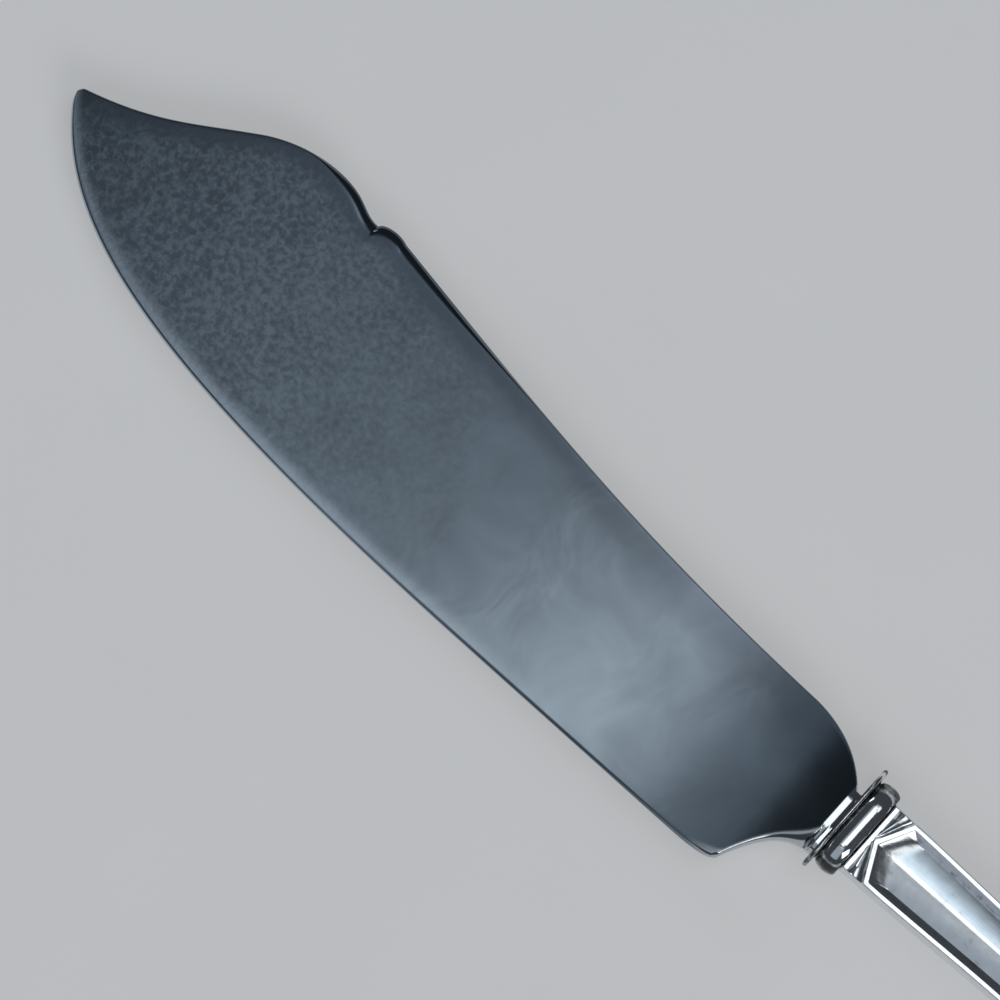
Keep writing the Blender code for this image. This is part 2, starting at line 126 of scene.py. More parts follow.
class BladeSizes(PropertyGroup):
    """Outline, section and tang of the blade. Setbacks run from the collar towards the tip."""

    length: size("Length", "From the collar's front face to the tip", BLADE_LENGTH)
    tip_rise: size("Tip rise", "Height of the tip over the handle's axis", 0.00236)
    tip_width: size("Tip width", "Width of the blunted tip", 0.0010)
    tip_round: size("Tip round", "Radius of the rounding at the tip", 0.0004)
    edge_drop: size("Edge drop", "Depth of the straight cutting edge under the axis", EDGE_DROP)
    belly_setback: size("Belly setback", "Where the edge starts to curve up to the tip", 0.0330)
    heel_setback: size("Heel setback", "Corner between the edge and the neck", 0.0054)
    heel_drop: size("Heel drop", "Depth of the heel's corner under the axis", 0.0093)
    heel_round: size("Heel round", "Length of the rounding between heel and edge", 0.0040)
    neck_drop: size("Neck drop", "Depth of the neck under the axis at the collar", 0.00406)
    neck_rise: size("Neck rise", "Height of the neck over the axis at the collar", 0.00217)
    neck_straight: size("Neck straight", "Straight stretch of the neck before the collar", 0.0005)
    shoulder_setback: size("Shoulder setback", "Where the rounded shoulder meets the spine", 0.0076)
    shoulder_rise: size("Shoulder rise", "Height of the shoulder over the axis", 0.0055)
    spur_length: size("Spur length", "From the spine up to the top of the spur beside the notch", 0.0013)
    spur_height: size("Spur height", "Height of the spur over the spine", 0.00023)
    notch_setback: size("Notch setback", "Top of the spur, where the spine dips into its notch", 0.0577)
    notch_rise: size("Notch rise", "Height of the spur over the axis", 0.01097)
    notch_depth: size("Notch depth", "Depth of the notch in the spine", 0.0006)
    notch_length: size("Notch length", "Length of the dip into the notch", 0.00145)
    crest_setback: size("Crest setback", "Highest place of the spine", 0.0645)
    crest_rise: size("Crest rise", "Height of the crest over the axis", CREST_RISE)
    clip_setback: size("Clip setback", "Where the clipped tip turns hollow", 0.0707)
    clip_rise: size("Clip rise", "Height of the clip's turn over the axis", 0.00989)
    heel_thickness: size("Heel thickness", "Thickness of the spine at the heel", 0.0024)
    tip_thickness: size("Tip thickness", "Thickness of the spine at the tip", 0.0010)
    edge_thickness: size("Edge thickness", "Thickness of the blunt cutting edge", 0.00045)
    bevel_thickness: size("Bevel thickness", "Thickness where the edge's rounding starts", 0.0009)
    bevel_width: size("Bevel width", "Width of the rounding along the cutting edge", 0.00030)
    wear_width: size("Wear width", "Width of the band worn bright along the cutting edge", 0.0016)
    wear_setback: size("Wear setback", "Where that wear starts", 0.020)
    wear_fade: size("Wear fade", "Length over which the wear comes up", 0.035)
    # Painted shade: a band along the spine is darkened to stand in for the dark that the spine's rounding
    # reflects
    spine_shade_width: size("Stain width", "Width of the band stained darker along the spine", 0.0028)
    spine_shade_spread: number("Stain spread", "How many times wider that band is at the heel", 2.2)
    spine_shade_setback: size("Stain setback", "Where the wide band starts to narrow", 0.018)
    spine_shade_fade: size("Stain fade", "Length over which the band narrows", 0.020)
    spine_shade_depth: share("Stain depth", "How dark the stain is at the spine", 0.7)
    pit_setback: size("Pit setback", "Where the fine pitting starts", 0.034)
    pit_fade: size("Pit fade", "Length over which the pitting comes up", 0.036)
    pit_margin: size("Pit margin", "Width of the band along the spine with less pitting", 0.0035)
    pit_least: share("Pit least", "Share of the pitting that is left at the spine", 0.2)
    spine_roll: size("Spine roll", "Width of the soft roll along the spine beside the notch", 0.0012)
    roll_lead: size("Roll lead", "Half the length over which that roll sets in at the crest", 0.003)
    roll_fade: size("Roll fade", "Length over which the roll fades behind the notch", 0.020)
    roll_drop: share("Roll drop", "How far the spine's rounding drops to the seam's plane", 0.65)
    spine_corner: size("Spine corner", "Width of the crisp rounding along the spine at the heel", 0.00020)
    face_sweep: size("Face sweep", "Where the face starts to sweep up to the neck", 0.0210)
    sweep_slope: number("Sweep slope", "Slope that the sweep gains evenly", 0.07)
    neck_slope: number("Neck slope", "Slope that the sweep gains late, at the neck", 0.14)
    land_setback: size("Land setback", "Where the sweep ends in a level land before the collar", 0.00088)
    land_round: size("Land round", "Length of the bend between sweep and land", 0.00012)
    land_drop: size("Land drop", "Lower end of the land, under the axis", 0.0018)
    land_rise: size("Land rise", "Upper end of the land, over the axis", 0.00145)
    land_end: size("Land end", "Length of the step at either end of the land", 0.0002)
    fillet: size("Fillet", "Stretch of the tight fillet against the collar", 0.00031)
    fillet_rise: size("Fillet rise", "Height that the fillet adds at the collar", 0.00012)
    bench_setback: size("Bench setback", "Where the neck's side levels out right before the collar", 0.0003)
    bench_lead: size("Bench lead", "Stretch over which that side levels out", 0.00009)
    bench_drop: size("Bench drop", "Drop across the neck's levelled side", 0.0009)
    flank_lead: size("Flank lead", "Stretch before the heel where the edge turns into a flank", 0.00324)
    flank_slope: number("Flank slope", "Drop of the neck's flank over its width", 0.6)
    flank_start: size("Flank start", "Width of the neck's flank at the heel", 0.0007)
    flank_growth: size("Flank growth", "Width that the flank would gain up to the collar", 0.0036)
    flank_reach: size("Flank reach", "Length over which that gain falls off", 0.00095)
    flank_end: size("Flank end", "Greatest width of the neck's flank", 0.0026)
    tang_half_width: size("Tang half width", "Half the width of the tang at the collar", 0.00155)
    tang_taper: share("Tang taper", "Share of that width that is left at the tang's end", 0.8)
    tang_half_thickness: size("Tang half thickness", "Half the thickness of the tang", 0.0007)


class CollarSizes(PropertyGroup):
    """Flange, groove and bead of the collar"""

    flange_length: size("Flange length", "Thickness of the flange along the knife", 0.0004)
    groove: size("Groove", "Length of the groove between flange and bead", 0.00015)
    core_width: size("Core width", "Width of the collar's core", 0.0078)
    core_thickness: size("Core thickness", "Thickness of the collar's core", 0.0050)
    corner: size("Corner", "Radius of the collar's rounded corners", 0.0022)
    fillet: size("Fillet", "Length of the fillet from the flange down to the core", 0.0002)
    bore_width: size("Bore width", "Width of the bore that the tang passes", 0.00351)
    bore_thickness: size("Bore thickness", "Height of that bore", 0.0020)
    # The flange's tarnish is partly painted shade, which dims the flange's reflections
    flange_tarnish_and_shade: share("Flange tarnish", "How tarnished the flange is", 0.5)
    bead_length: size("Bead length", "Length of the bead along the knife", 0.00195)
    bead_rise: size("Bead rise", "Height of the bead over the core", 0.00042)


class HandleSizes(PropertyGroup):
    """Outline and framed panel of the handle. Insets run in from the outline, drops down from the ridge."""

    length: size("Length", "Length of the handle behind the collar", HANDLE_LENGTH)
    mouth_width: size("Mouth width", "Width of the handle at the collar", 0.0068)
    waist_width: size("Waist width", "Width of the handle at its waist", 0.0061)
    waist_setback: size("Waist setback", "From the mouth to the waist", 0.0180)
    butt_width: size("Butt width", "Greatest width, before the butt", BUTT_WIDTH)
    butt_round: size("Butt round", "Length of the rounded butt", 0.0078)
    wall: size("Wall", "Thickness of the stamped sheet", 0.0005)
    wall_inset: size("Wall inset", "From the outline in to the rim's top", 0.00025)
    rim_inset: size("Rim inset", "From the outline to the inner side of the rim's top", 0.00058)
    rim_drop: size("Rim drop", "Drop of the rim's crest", 0.00045)
    panel_inset: size("Panel inset", "From the outline to the panel's edge", 0.0012)
    panel_drop: size("Panel drop", "Drop of the panel's edge", 0.00085)
    ridge_width: size("Ridge width", "Width of the flat along the ridge at the butt", 0.0004)
    inner_ridge: size("Inner ridge", "Width of the flat inside the sheet, under the ridge", 0.0022)
    thin_wall: size("Thin wall", "Least thickness of the sheet, where the ridge dips", 0.00012)
    ridge_dip: size("Ridge dip", "Drop of the ridge where it meets the chevron", 0.00045)
    dip_hold: size("Dip hold", "Length over which the ridge keeps that drop", 0.0111)
    dip_length: size("Dip length", "Length over which the ridge then comes up", 0.025)
    mouth_drop: size("Mouth drop", "Drop of the shell's edge at the collar", 0.0010)
    mouth_edge: size("Mouth edge", "Rounded edge from the mouth up to the rim across it", 0.00015)
    mouth_rim: size("Mouth rim", "From the mouth to the back of the rim across it", 0.00054)
    chevron_setback: size("Chevron setback", "From the mouth to the point of the chevron", 0.00065)
    chevron_lean: number("Chevron lean", "How far the chevron's arms run back for their rise", 0.52)
    chevron_rim: size("Chevron rim", "Width of the chevron's rim", 0.0004)
    chevron_rise: size("Chevron rise", "Height that the rim gains up to the chevron's point", 0.0003)
    chevron_slope: size("Chevron slope", "Length of the hollow slope from its rim to the panel", 0.0025)
    panel_lean: share("Panel lean", "Share of the lean that is left where the panel starts", 0.6)
    panel_crown: share("Panel crown", "How crowned the panel's two sides are", 0.3)
    chevron_fade: size("Chevron fade", "Stretch over which rows turn square again", 0.0060)
    corner_dip: size("Corner dip", "Depth of the sunk corners beside the chevron", 0.0004)
    corner_fade: share("Corner fade", "Share of the half width over which they deepen", 5 / 7)
    # The sunk corners and the foot of the rim take tarnish with painted shade
    corner_tarnish_and_shade: share("Corner tarnish", "How tarnished the sunk corners are", 0.4)
    border_tarnish_and_shade: share("Border tarnish", "How tarnished the foot of the rim is", 0.3)


class KnifeFinish(PropertyGroup):
    """Colours and polish of the metals"""

    steel: shade("Steel", "Lighter flecks of the satin steel", (0.212, 0.262, 0.302))
    # The darker colour serves both the random stains and the painted shade along the spine
    steel_stain_and_shade: shade("Steel stain", "Darker stains in the satin steel", (0.124, 0.154, 0.184))
    steel_roughness: share("Steel roughness", "Roughness of the satin blade at its heel", 0.14)
    pitted_roughness: share("Pitted roughness", "Roughness of the pitted steel at its tip", 0.18)
    worn_edge: shade("Worn edge", "Steel worn bright along the cutting edge", (0.47, 0.55, 0.62))
    neck: shade("Neck", "Polished steel of the neck", (0.56, 0.60, 0.63))
    neck_roughness: share("Neck roughness", "Roughness of the polished neck", 0.12)
    silver: shade("Silver", "Bare worn silver", (0.80, 0.84, 0.87))
    # This dark colour serves real tarnish, painted shade in the recesses, and a painted dark reflection on the
    # collar's low sides
    tarnish_and_shade: shade("Tarnish", "Dark tarnish left in the recesses", (0.055, 0.058, 0.062))
    tarnish_roughness: share("Tarnish roughness", "Roughness of the tarnish", 0.42)
    # Bounds of the painted dark reflection on the collar's low sides, near the seam
    side_low: size("Side low", "Height over the seam up to which a tarnished side is darkest", 0.0018)
    side_high: size("Side high", "Height over the seam from which a tarnished side is bare", 0.0026)
    silver_roughness: share("Silver roughness", "Roughness of the handle's silver", 0.17)
    collar_roughness: share("Collar roughness", "Roughness of the polished collar", 0.10)
    solder: shade("Solder", "Dull solder in the seam", (0.50, 0.51, 0.50))
    cement: shade("Cement", "Set cement inside the handle", (0.30, 0.27, 0.24))


class StageSettings(PropertyGroup):
    """Floor, light and camera"""

    floor: shade("Floor", "Pale floor", (0.82, 0.83, 0.84))
    floor_veil: share("Floor veil", "How much of that colour is seen whatever light falls on it", 0.4)
    floor_gap: size("Floor gap", "Gap between the floor and the knife", 0.00002)
    floor_reach: size("Floor reach", "From the middle of the floor to its sides", 3.0)
    surroundings: shade("Surroundings", "Even light of the room", (0.050, 0.055, 0.062))
    lamp_height: size("Lamp height", "Height of the lamps that face straight down", 0.70)
    aim_setback: size("Aim setback", "From the collar towards the tip, to the place looked at", 0.03723)
    aim_rise: size("Aim rise", "From the axis towards the spine, to the place looked at", 0.00054)
    azimuth: angle("Azimuth", "Direction that the camera looks from, round the knife", 41.91)
    elevation: angle("Elevation", "Height of the camera over the floor", 85.0)
    distance: size("Distance", "From the camera to the place it looks at", 0.70)
    view_width: size("View width", "Width of the view at the place looked at", 0.07988)


# Greatest shares of the blade's width that its flank, its spine's rounding and its tip's rounding may take,
# and of the collar's half thickness that its corners may take
FLANK_SHARE = 0.45
SPINE_SHARE = 0.3
TIP_SHARE = 0.4
CORNER_SHARE = 0.95

# Least share of its height that the neck's flank keeps at its foot, and how tight the foot of its bench is
LEAST_FOOT = 0.05
BENCH_CORNER = 9

# Powers that shape the handle, where 1 is straight: the fall from a rim to the panel, the chevron's slope on
# top of that, the floor of the sunk corners and the rounding of the side wall
PANEL_FALL = 1.3
SLOPE_HOLLOW = 1.5
CORNER_FLOOR = 2.5
WALL_ROUND = 0.8

# Depth below the rim where tarnish and painted shade gather, and how far they spread, with the panel's edge at
# 1
TARNISH_SHADE_DEPTH = 0.6
TARNISH_SHADE_SPREAD = 0.3

# Points nearer than this are one point
SAME_PLACE = 0.000001

# A row across half the handle: its end on the outline, the way in from there, its end on the ridge, the side
# of the ridge's flat, how far it leans back, and its depth
Row = namedtuple("Row", "outline inward ridge land lean depth")


def blend(low, high, part):
    """The value at a part of the way from low to high."""
    return low + (high - low) * part


def smooth(part):
    """A part of the way, eased at both ends and held between 0 and 1."""
    held = min(max(part, 0.0), 1.0)
    return held * held * (3 - 2 * held)


def spread(start, end, count, crowding=1.0):
    """Values after start up to end, crowded towards start where crowding is over 1."""
    return [blend(start, end, (step / count) ** crowding) for step in range(1, count + 1)]


def curve(start, end, first, second, steps=48):
    """Points of a cubic curve. Its two handles are given as shares of its run and of its rise."""
    run = end[0] - start[0]
    rise = end[1] - start[1]
    corners = (
        start,
        (start[0] + first[0] * run, start[1] + first[1] * rise),
        (start[0] + second[0] * run, start[1] + second[1] * rise),
        end,
    )
    points = []
    for step in range(steps + 1):
        t = step / steps
        weights = ((1 - t) ** 3, 3 * t * (1 - t) ** 2, 3 * t * t * (1 - t), t ** 3)
        points.append([sum(w * corner[axis] for w, corner in zip(weights, corners)) for axis in (0, 1)])
    return points


def quads(rows, columns, closed):
    """Faces of a grid of vertices, closed along its columns if asked."""
    faces = []
    for row in range(rows - 1):
        for column in range(columns if closed else columns - 1):
            beside = (column + 1) % columns
            faces.append((row * columns + column, row * columns + beside,
                          (row + 1) * columns + beside, (row + 1) * columns + column))
    return faces


def turn_outwards(mesh, weld=False):
    """Turn the faces of a closed mesh outwards, with its doubled points merged first if asked."""
    bm = bmesh.new()
    bm.from_mesh(mesh)
    if weld:
        bmesh.ops.remove_doubles(bm, verts=bm.verts, dist=SAME_PLACE)
    bmesh.ops.recalc_face_normals(bm, faces=bm.faces)
    bm.to_mesh(mesh)
    bm.free()


def add_object(name, data):
    """Put a mesh, a lamp or a camera into the scene."""
    added = bpy.data.objects.new(name, data)
    bpy.context.collection.objects.link(added)
    return added


def make_piece(name, points, faces, material, attributes, sharp=40.0):
    """A closed mesh of local points, moved to its place on the knife, with its faces turned outwards."""
    mesh = bpy.data.meshes.new(name)
    mesh.from_pydata([tuple(ORIGIN + Vector(point)) for point in points], [], faces)
    for label, values in attributes.items():
        layer = mesh.attributes.new(label, "FLOAT", "POINT")
        layer.data.foreach_set("value", np.asarray(values, dtype=np.float32))
    turn_outwards(mesh)
    mesh.shade_smooth()
    mesh.set_sharp_from_angle(angle=math.radians(sharp))
    mesh.materials.append(material)
    return add_object(name, mesh)


def seat(piece, slot, *nodes):
    """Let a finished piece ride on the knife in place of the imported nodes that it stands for."""
    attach(piece, "root")
    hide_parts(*nodes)


def opaque(colour):
    """A colour with full alpha."""
    return (*colour, 1.0)


class Surface:
    """A material in the making, with short calls for the nodes of its finish."""

    def __init__(self, name):
        self.material = bpy.data.materials.new(name)
        self.material.use_nodes = True
        self.tree = self.material.node_tree
        self.shader = self.tree.nodes["Principled BSDF"]

    def put(self, socket, value):
        """Link another node's output to a socket, or set the socket's own value."""
        if isinstance(value, bpy.types.NodeSocket):
            self.tree.links.new(value, socket)
        else:
            socket.default_value = value

    def add(self, kind, values=None, **settings):
        """A node with its settings and its inputs."""
        node = self.tree.nodes.new(kind)
        for key, value in settings.items():
            setattr(node, key, value)
        for key, value in (values or {}).items():
            self.put(node.inputs[key], value)
        return node

    def place(self):
        """Where a point is on the piece."""
        return self.add("ShaderNodeTexCoord").outputs["Object"]

    def attribute(self, name):
        """A value that the mesh holds at each of its points."""
        return self.add("ShaderNodeAttribute", attribute_name=name).outputs["Fac"]

    def noise(self, place, scale, detail, roughness=0.5, distortion=0.0):
        """A cloudy pattern."""
        values = {"Vector": place, "Scale": scale, "Detail": detail, "Roughness": roughness,
                  "Distortion": distortion}
        return self.add("ShaderNodeTexNoise", values).outputs["Fac"]

    def remap(self, value, low, high, start=0.3, end=0.7, **settings):
        """A value that runs from start to end, as noise mostly does, brought to run from low to high."""
        values = {"Value": value, "From Min": start, "From Max": end, "To Min": low, "To Max": high}
        return self.add("ShaderNodeMapRange", values, **settings).outputs["Result"]

    def reckon(self, operation, *values, **settings):
        """The sum, product or the like of one or two values."""
        node = self.add("ShaderNodeMath", dict(enumerate(values)), operation=operation, **settings)
        return node.outputs[0]

    def mix_values(self, factor, first, second):
        """A value between two others."""
        return self.add("ShaderNodeMix", {"Factor": factor, "A": first, "B": second}).outputs[0]

    def mix_colours(self, factor, first, second, way="MIX"):
        """Two colours mixed. The node's colour sockets are inputs 6 and 7 and output 2."""
        values = {"Factor": factor, 6: first, 7: second}
        return self.add("ShaderNodeMix", values, data_type="RGBA", blend_type=way).outputs[2]

    def bump(self, height, strength, distance, under=None):
        """Normals bent by a height, on top of another bump if one is given."""
        values = {"Strength": strength, "Distance": distance, "Height": height}
        if under is not None:
            values["Normal"] = under
        return self.add("ShaderNodeBump", values).outputs["Normal"]

    def finish(self, **inputs):
        """The material, with these inputs of its shader."""
        for label, value in inputs.items():
            self.put(self.shader.inputs[label.replace("_", " ").title()], value)
        return self.material


def satin_steel(finish):
    """Blade steel: satin, pitted towards its tip, stained at random, with painted shade along its spine, worn
    at its edge and polished at the neck.
    """
    steel = Surface("satin_steel")
    place = steel.place()
    polish = steel.attribute("polish")
    pitting = steel.attribute("pitting")
    clouds = steel.noise(place, scale=170.0, detail=3.0, distortion=0.6)
    grain = steel.noise(place, scale=1900.0, detail=4.0, roughness=0.62, distortion=0.3)
    fine = steel.noise(place, scale=5200.0, detail=2.0)
    speckle = steel.remap(grain, -1.0, 1.0, clamp=False)
    speckled = steel.reckon("MULTIPLY", speckle, pitting)
    # Painted shade: the clouds' tone is lowered towards the spine
    clouds_less_spine_shade = steel.reckon("SUBTRACT", steel.remap(clouds, 0.24, 0.76), steel.attribute("spine_shade"))
    light = steel.reckon("ADD", speckled, clouds_less_spine_shade, use_clamp=True)
    satin = steel.mix_colours(light, opaque(finish.steel_stain_and_shade), opaque(finish.steel))
    worn = steel.mix_colours(steel.attribute("wear"), satin, opaque(finish.worn_edge))
    colour = steel.mix_colours(polish, worn, opaque(finish.neck))
    dull = steel.remap(pitting, finish.steel_roughness, finish.pitted_roughness, start=0.0, end=1.0)
    rough = steel.mix_values(polish, dull, finish.neck_roughness)
    waves = steel.bump(clouds, strength=0.5, distance=0.00002)
    pits = steel.bump(speckled, strength=0.12, distance=0.00001, under=waves)
    brushed = steel.bump(fine, strength=0.04, distance=0.000008, under=pits)
    return steel.finish(base_color=colour, metallic=1.0, roughness=rough, normal=brushed)


def worn_silver(name, finish, roughness, scratch, side_painted_reflection):
    """Silver, finely scratched along the handle, with tarnish and painted shade in its recesses, and a painted
    dark reflection on its low sides.
    """
    silver = Surface(name)
    place = silver.place()
    height = silver.add("ShaderNodeSeparateXYZ", {"Vector": place}).outputs["Z"]
    rise = silver.reckon("ABSOLUTE", silver.reckon("SUBTRACT", height, ORIGIN.z))
    # Painted dark reflection: the low sides near the seam are darkened as if they mirrored a dark room
    side = silver.remap(rise, side_painted_reflection, 0.0, start=finish.side_low, end=finish.side_high)
    # Tarnish with painted shade from the mesh, together with the painted dark reflection on the low sides
    hollow = silver.reckon("MAXIMUM", silver.attribute("tarnish_and_shade_mask"), side)
    along = silver.add("ShaderNodeMapping", {"Vector": place, "Scale": (0.12, 1.0, 1.0)}).outputs[0]
    scratches = silver.noise(along, scale=5200.0, detail=4.0, roughness=0.65)
    patches = silver.noise(place, scale=900.0, detail=4.0, roughness=0.6)
    patchy = silver.reckon("ADD", hollow, silver.remap(patches, -0.35, 0.35))
    dark = silver.remap(patchy, 0.0, 1.0, start=0.25, end=0.95, interpolation_type="SMOOTHSTEP")
    film = silver.remap(patches, 1.0, 0.86, end=0.75)
    bare = silver.mix_colours(1.0, opaque(finish.silver), film, "MULTIPLY")
    colour = silver.mix_colours(dark, bare, opaque(finish.tarnish_and_shade))
    polished = silver.remap(scratches, roughness - 0.03, roughness + 0.05)
    rough = silver.mix_values(dark, polished, finish.tarnish_roughness)
    lines = silver.bump(scratches, strength=scratch, distance=0.000006)
    return silver.finish(base_color=colour, metallic=1.0, roughness=rough, normal=lines)


def grainy(name, colour, metallic, roughness, scale, depth):
    """A dull surface with a fine grain, for the solder and the cement."""
    surface = Surface(name)
    grain = surface.noise(surface.place(), scale, detail=5.0, roughness=0.6)
    tone = surface.remap(grain, 0.78, 1.08)
    shaded = surface.mix_colours(1.0, opaque(colour), tone, "MULTIPLY")
    bump = surface.bump(grain, strength=0.5, distance=depth)
    return surface.finish(base_color=shaded, metallic=metallic, roughness=roughness, normal=bump)


def pale_floor(stage):
    """A pale, faintly mottled floor, whose own colour is partly shown to the camera and to the metal."""
    floor = Surface("pale_floor")
    mottle = floor.noise(floor.place(), scale=60.0, detail=2.0)
    tone = floor.remap(mottle, 0.985, 1.015, start=0.0, end=1.0)
    paint = floor.mix_colours(1.0, opaque(stage.floor), tone, "MULTIPLY")
    ray = floor.add("ShaderNodeLightPath").outputs
    seen = floor.reckon("MAXIMUM", ray["Is Camera Ray"], ray["Is Glossy Ray"])
    seen = floor.reckon("MAXIMUM", seen, ray["Is Transmission Ray"])
    veil = floor.reckon("MULTIPLY", seen, stage.floor_veil)
    shown = floor.add("ShaderNodeEmission", {"Color": paint, "Strength": 1.0}).outputs[0]
    lit = floor.shader.outputs[0]
    veiled = floor.add("ShaderNodeMixShader", {0: veil, 1: lit, 2: shown}).outputs[0]
    floor.put(floor.tree.nodes["Material Output"].inputs["Surface"], veiled)
    return floor.finish(base_color=paint, roughness=0.75)


def spine_outline(blade):
    """The blade's upper outline from the collar to the tip: shoulder, spine, spur, notch, crest and clip."""
    neck = (-blade.neck_straight, blade.neck_rise)
    shoulder = (-blade.shoulder_setback, blade.shoulder_rise)
    spur_foot = (blade.spur_length - blade.notch_setback, blade.notch_rise - blade.spur_height)
    spur = (-blade.notch_setback, blade.notch_rise)
    notch = (-blade.notch_setback - blade.notch_length, blade.notch_rise - blade.notch_depth)
    crest = (-blade.crest_setback, blade.crest_rise)
    clip = (-blade.clip_setback, blade.clip_rise)
    tip = (-blade.length, blade.tip_rise + blade.tip_width / 2)
    return np.array(
        [(0.0, blade.neck_rise)]
        + curve(neck, shoulder, (0.19, 0.52), (0.53, 0.94))
        + curve(shoulder, spur_foot, (0.375, 0.07), (0.575, 0.35))
        + curve(spur_foot, spur, (0.25, 0.5), (0.5, 1.0))
        + curve(spur, notch, (0.5, 0.1), (0.9, 0.4))
        + curve(notch, crest, (0.33, 0.0), (0.38, 1.0))
        + curve(crest, clip, (0.37, 0.0), (0.72, 0.42))
        + curve(clip, tip, (0.36, 0.43), (0.52, 0.74))
    )


def edge_outline(blade):
    """The blade's lower outline from the collar to the tip: neck, heel, straight edge and belly."""
    neck = (-blade.neck_straight / 2, -blade.neck_drop)
    heel = (-blade.heel_setback, -blade.heel_drop)
    straight = (-blade.heel_setback - blade.heel_round, -blade.edge_drop)
    belly = (-blade.belly_setback, -blade.edge_drop)
    tip = (-blade.length, blade.tip_rise - blade.tip_width / 2)
    return np.array(
        [(0.0, -blade.neck_drop)]
        + curve(neck, heel, (0.49, 0.01), (0.755, 0.46))
        + curve(heel, straight, (0.09, 0.75), (0.5, 1.0))
        + curve(belly, tip, (0.65, 0.0), (0.89, 0.29), steps=120)
    )


def outline_height(outline, x):
    """The height of an outline that runs towards -X."""
    return float(np.interp(x, outline[::-1, 0], outline[::-1, 1]))


def blade_stations(blade):
    """Places along the blade where its section is drawn, close together where the outline turns."""
    setbacks = [blade.length] + spread(blade.length, blade.clip_setback, 70, 1.8)
    for end, count in (
        (blade.crest_setback, 16),
        (blade.notch_setback + blade.notch_length, 36),
        (blade.notch_setback, 20),
        (blade.notch_setback - blade.spur_length, 14),
        (blade.face_sweep, 60),
        (blade.heel_setback, 36),
        (blade.land_setback, 44),
        (blade.land_setback - blade.land_round, 6),
        (0.0, 26),
    ):
        setbacks += spread(setbacks[-1], end, count)
    return [-setback for setback in setbacks]


def wedge_height(blade, x, y):
    """Height of the blade's flat face over the seam's plane: a wedge from the spine down to the edge."""
    along = min(max((x + blade.length) / (blade.length - blade.face_sweep), 0.0), 1.0)
    thick = blend(blade.tip_thickness, blade.heel_thickness, along) / 2
    thin = min(blade.bevel_thickness / 2, thick)
    ends = (-blade.crest_setback, -blade.shoulder_setback)
    spine = np.interp(x, ends, (blade.crest_rise, blade.shoulder_rise))
    foot = blade.bevel_width - blade.edge_drop
    return blend(thin, thick, (y - foot) / (spine - foot))


def face_height(blade, x, y):
    """Height of the face over the seam's plane: the wedge, a long sweep up to the neck, a level land across
    the neck's middle and a tight fillet at the collar."""
    start = -blade.land_setback
    stretch = blade.face_sweep - blade.land_setback
    swept = max(0.0, min(x, start) + blade.face_sweep) / stretch
    lift = stretch * (blade.sweep_slope * swept ** 2 / 2 + blade.neck_slope * swept ** 5 / 5)
    past = max(0.0, x - start)
    bend = min(past, blade.land_round)
    level = bend * (1 - bend / (2 * blade.land_round))
    land = smooth((y + blade.land_drop) / blade.land_end) * smooth((blade.land_rise - y) / blade.land_end)
    lift += (blade.sweep_slope + blade.neck_slope) * blend(past, level, land)
    fillet = max(0.0, 1 + x / blade.fillet)
    return wedge_height(blade, x, y) + lift + blade.fillet_rise * fillet ** 2


def tip_nose(blade, x):
    """How much the rounding of the tip takes off each side of the blade."""
    radius = min(blade.tip_round, TIP_SHARE * blade.tip_width)
    short = max(0.0, 1 - (x + blade.length) / radius)
    return radius * (1 - math.sqrt(max(0.0, 1 - short ** 2)))


def blade_section(blade, x, spine, edge):
    """Points of the upper face across the blade, from the edge to the spine, and how polished each is."""
    low = outline_height(edge, x) + tip_nose(blade, x)
    high = outline_height(spine, x) - tip_nose(blade, x)
    width = high - low
    past_heel = smooth((x + blade.heel_setback) / blade.flank_lead + 1)
    flank = min(blade.flank_start + blade.flank_growth * math.exp(x / blade.flank_reach), blade.flank_end)
    roll = min(blend(blade.bevel_width, flank, past_heel), FLANK_SHARE * width)
    roll_top = face_height(blade, min(x, -blade.fillet), low + roll)
    levelled = smooth((x + blade.bench_setback) / blade.bench_lead + 1)
    steep = max(roll_top - blade.flank_slope * roll, LEAST_FOOT * roll_top)
    roll_foot = blend(blade.edge_thickness / 2, steep, past_heel)
    set_in = smooth((x + blade.crest_setback + blade.roll_lead) / (2 * blade.roll_lead))
    faded = smooth((x + blade.notch_setback) / blade.roll_fade)
    soft = blend(blade.spine_corner, blade.spine_roll, set_in * (1 - faded))
    rounding = min(soft, SPINE_SHARE * width)
    points = []
    for part in [0.0] + spread(0.0, 1.0, 14, 1.5):
        sloped = blend(roll_foot, roll_top, 1 - (1 - part) ** 2)
        bench = roll_top - blade.bench_drop * (1 - part) ** BENCH_CORNER
        points.append((x, low + roll * part, blend(sloped, bench, levelled)))
    polish = [past_heel] * len(points)
    for y in spread(low + roll, high - rounding, 40):
        points.append((x, y, face_height(blade, x, y)))
    top = points[-1][2]
    for turn in spread(0.0, math.pi / 2, 12):
        part = math.sin(turn)
        points.append((x, high - rounding * (1 - part), top * (1 - blade.roll_drop * part ** 3)))
    polish += [0.0] * (len(points) - len(polish))
    near_collar = smooth((x + blade.land_setback) / blade.land_round)
    return points, [max(value, near_collar) for value in polish]


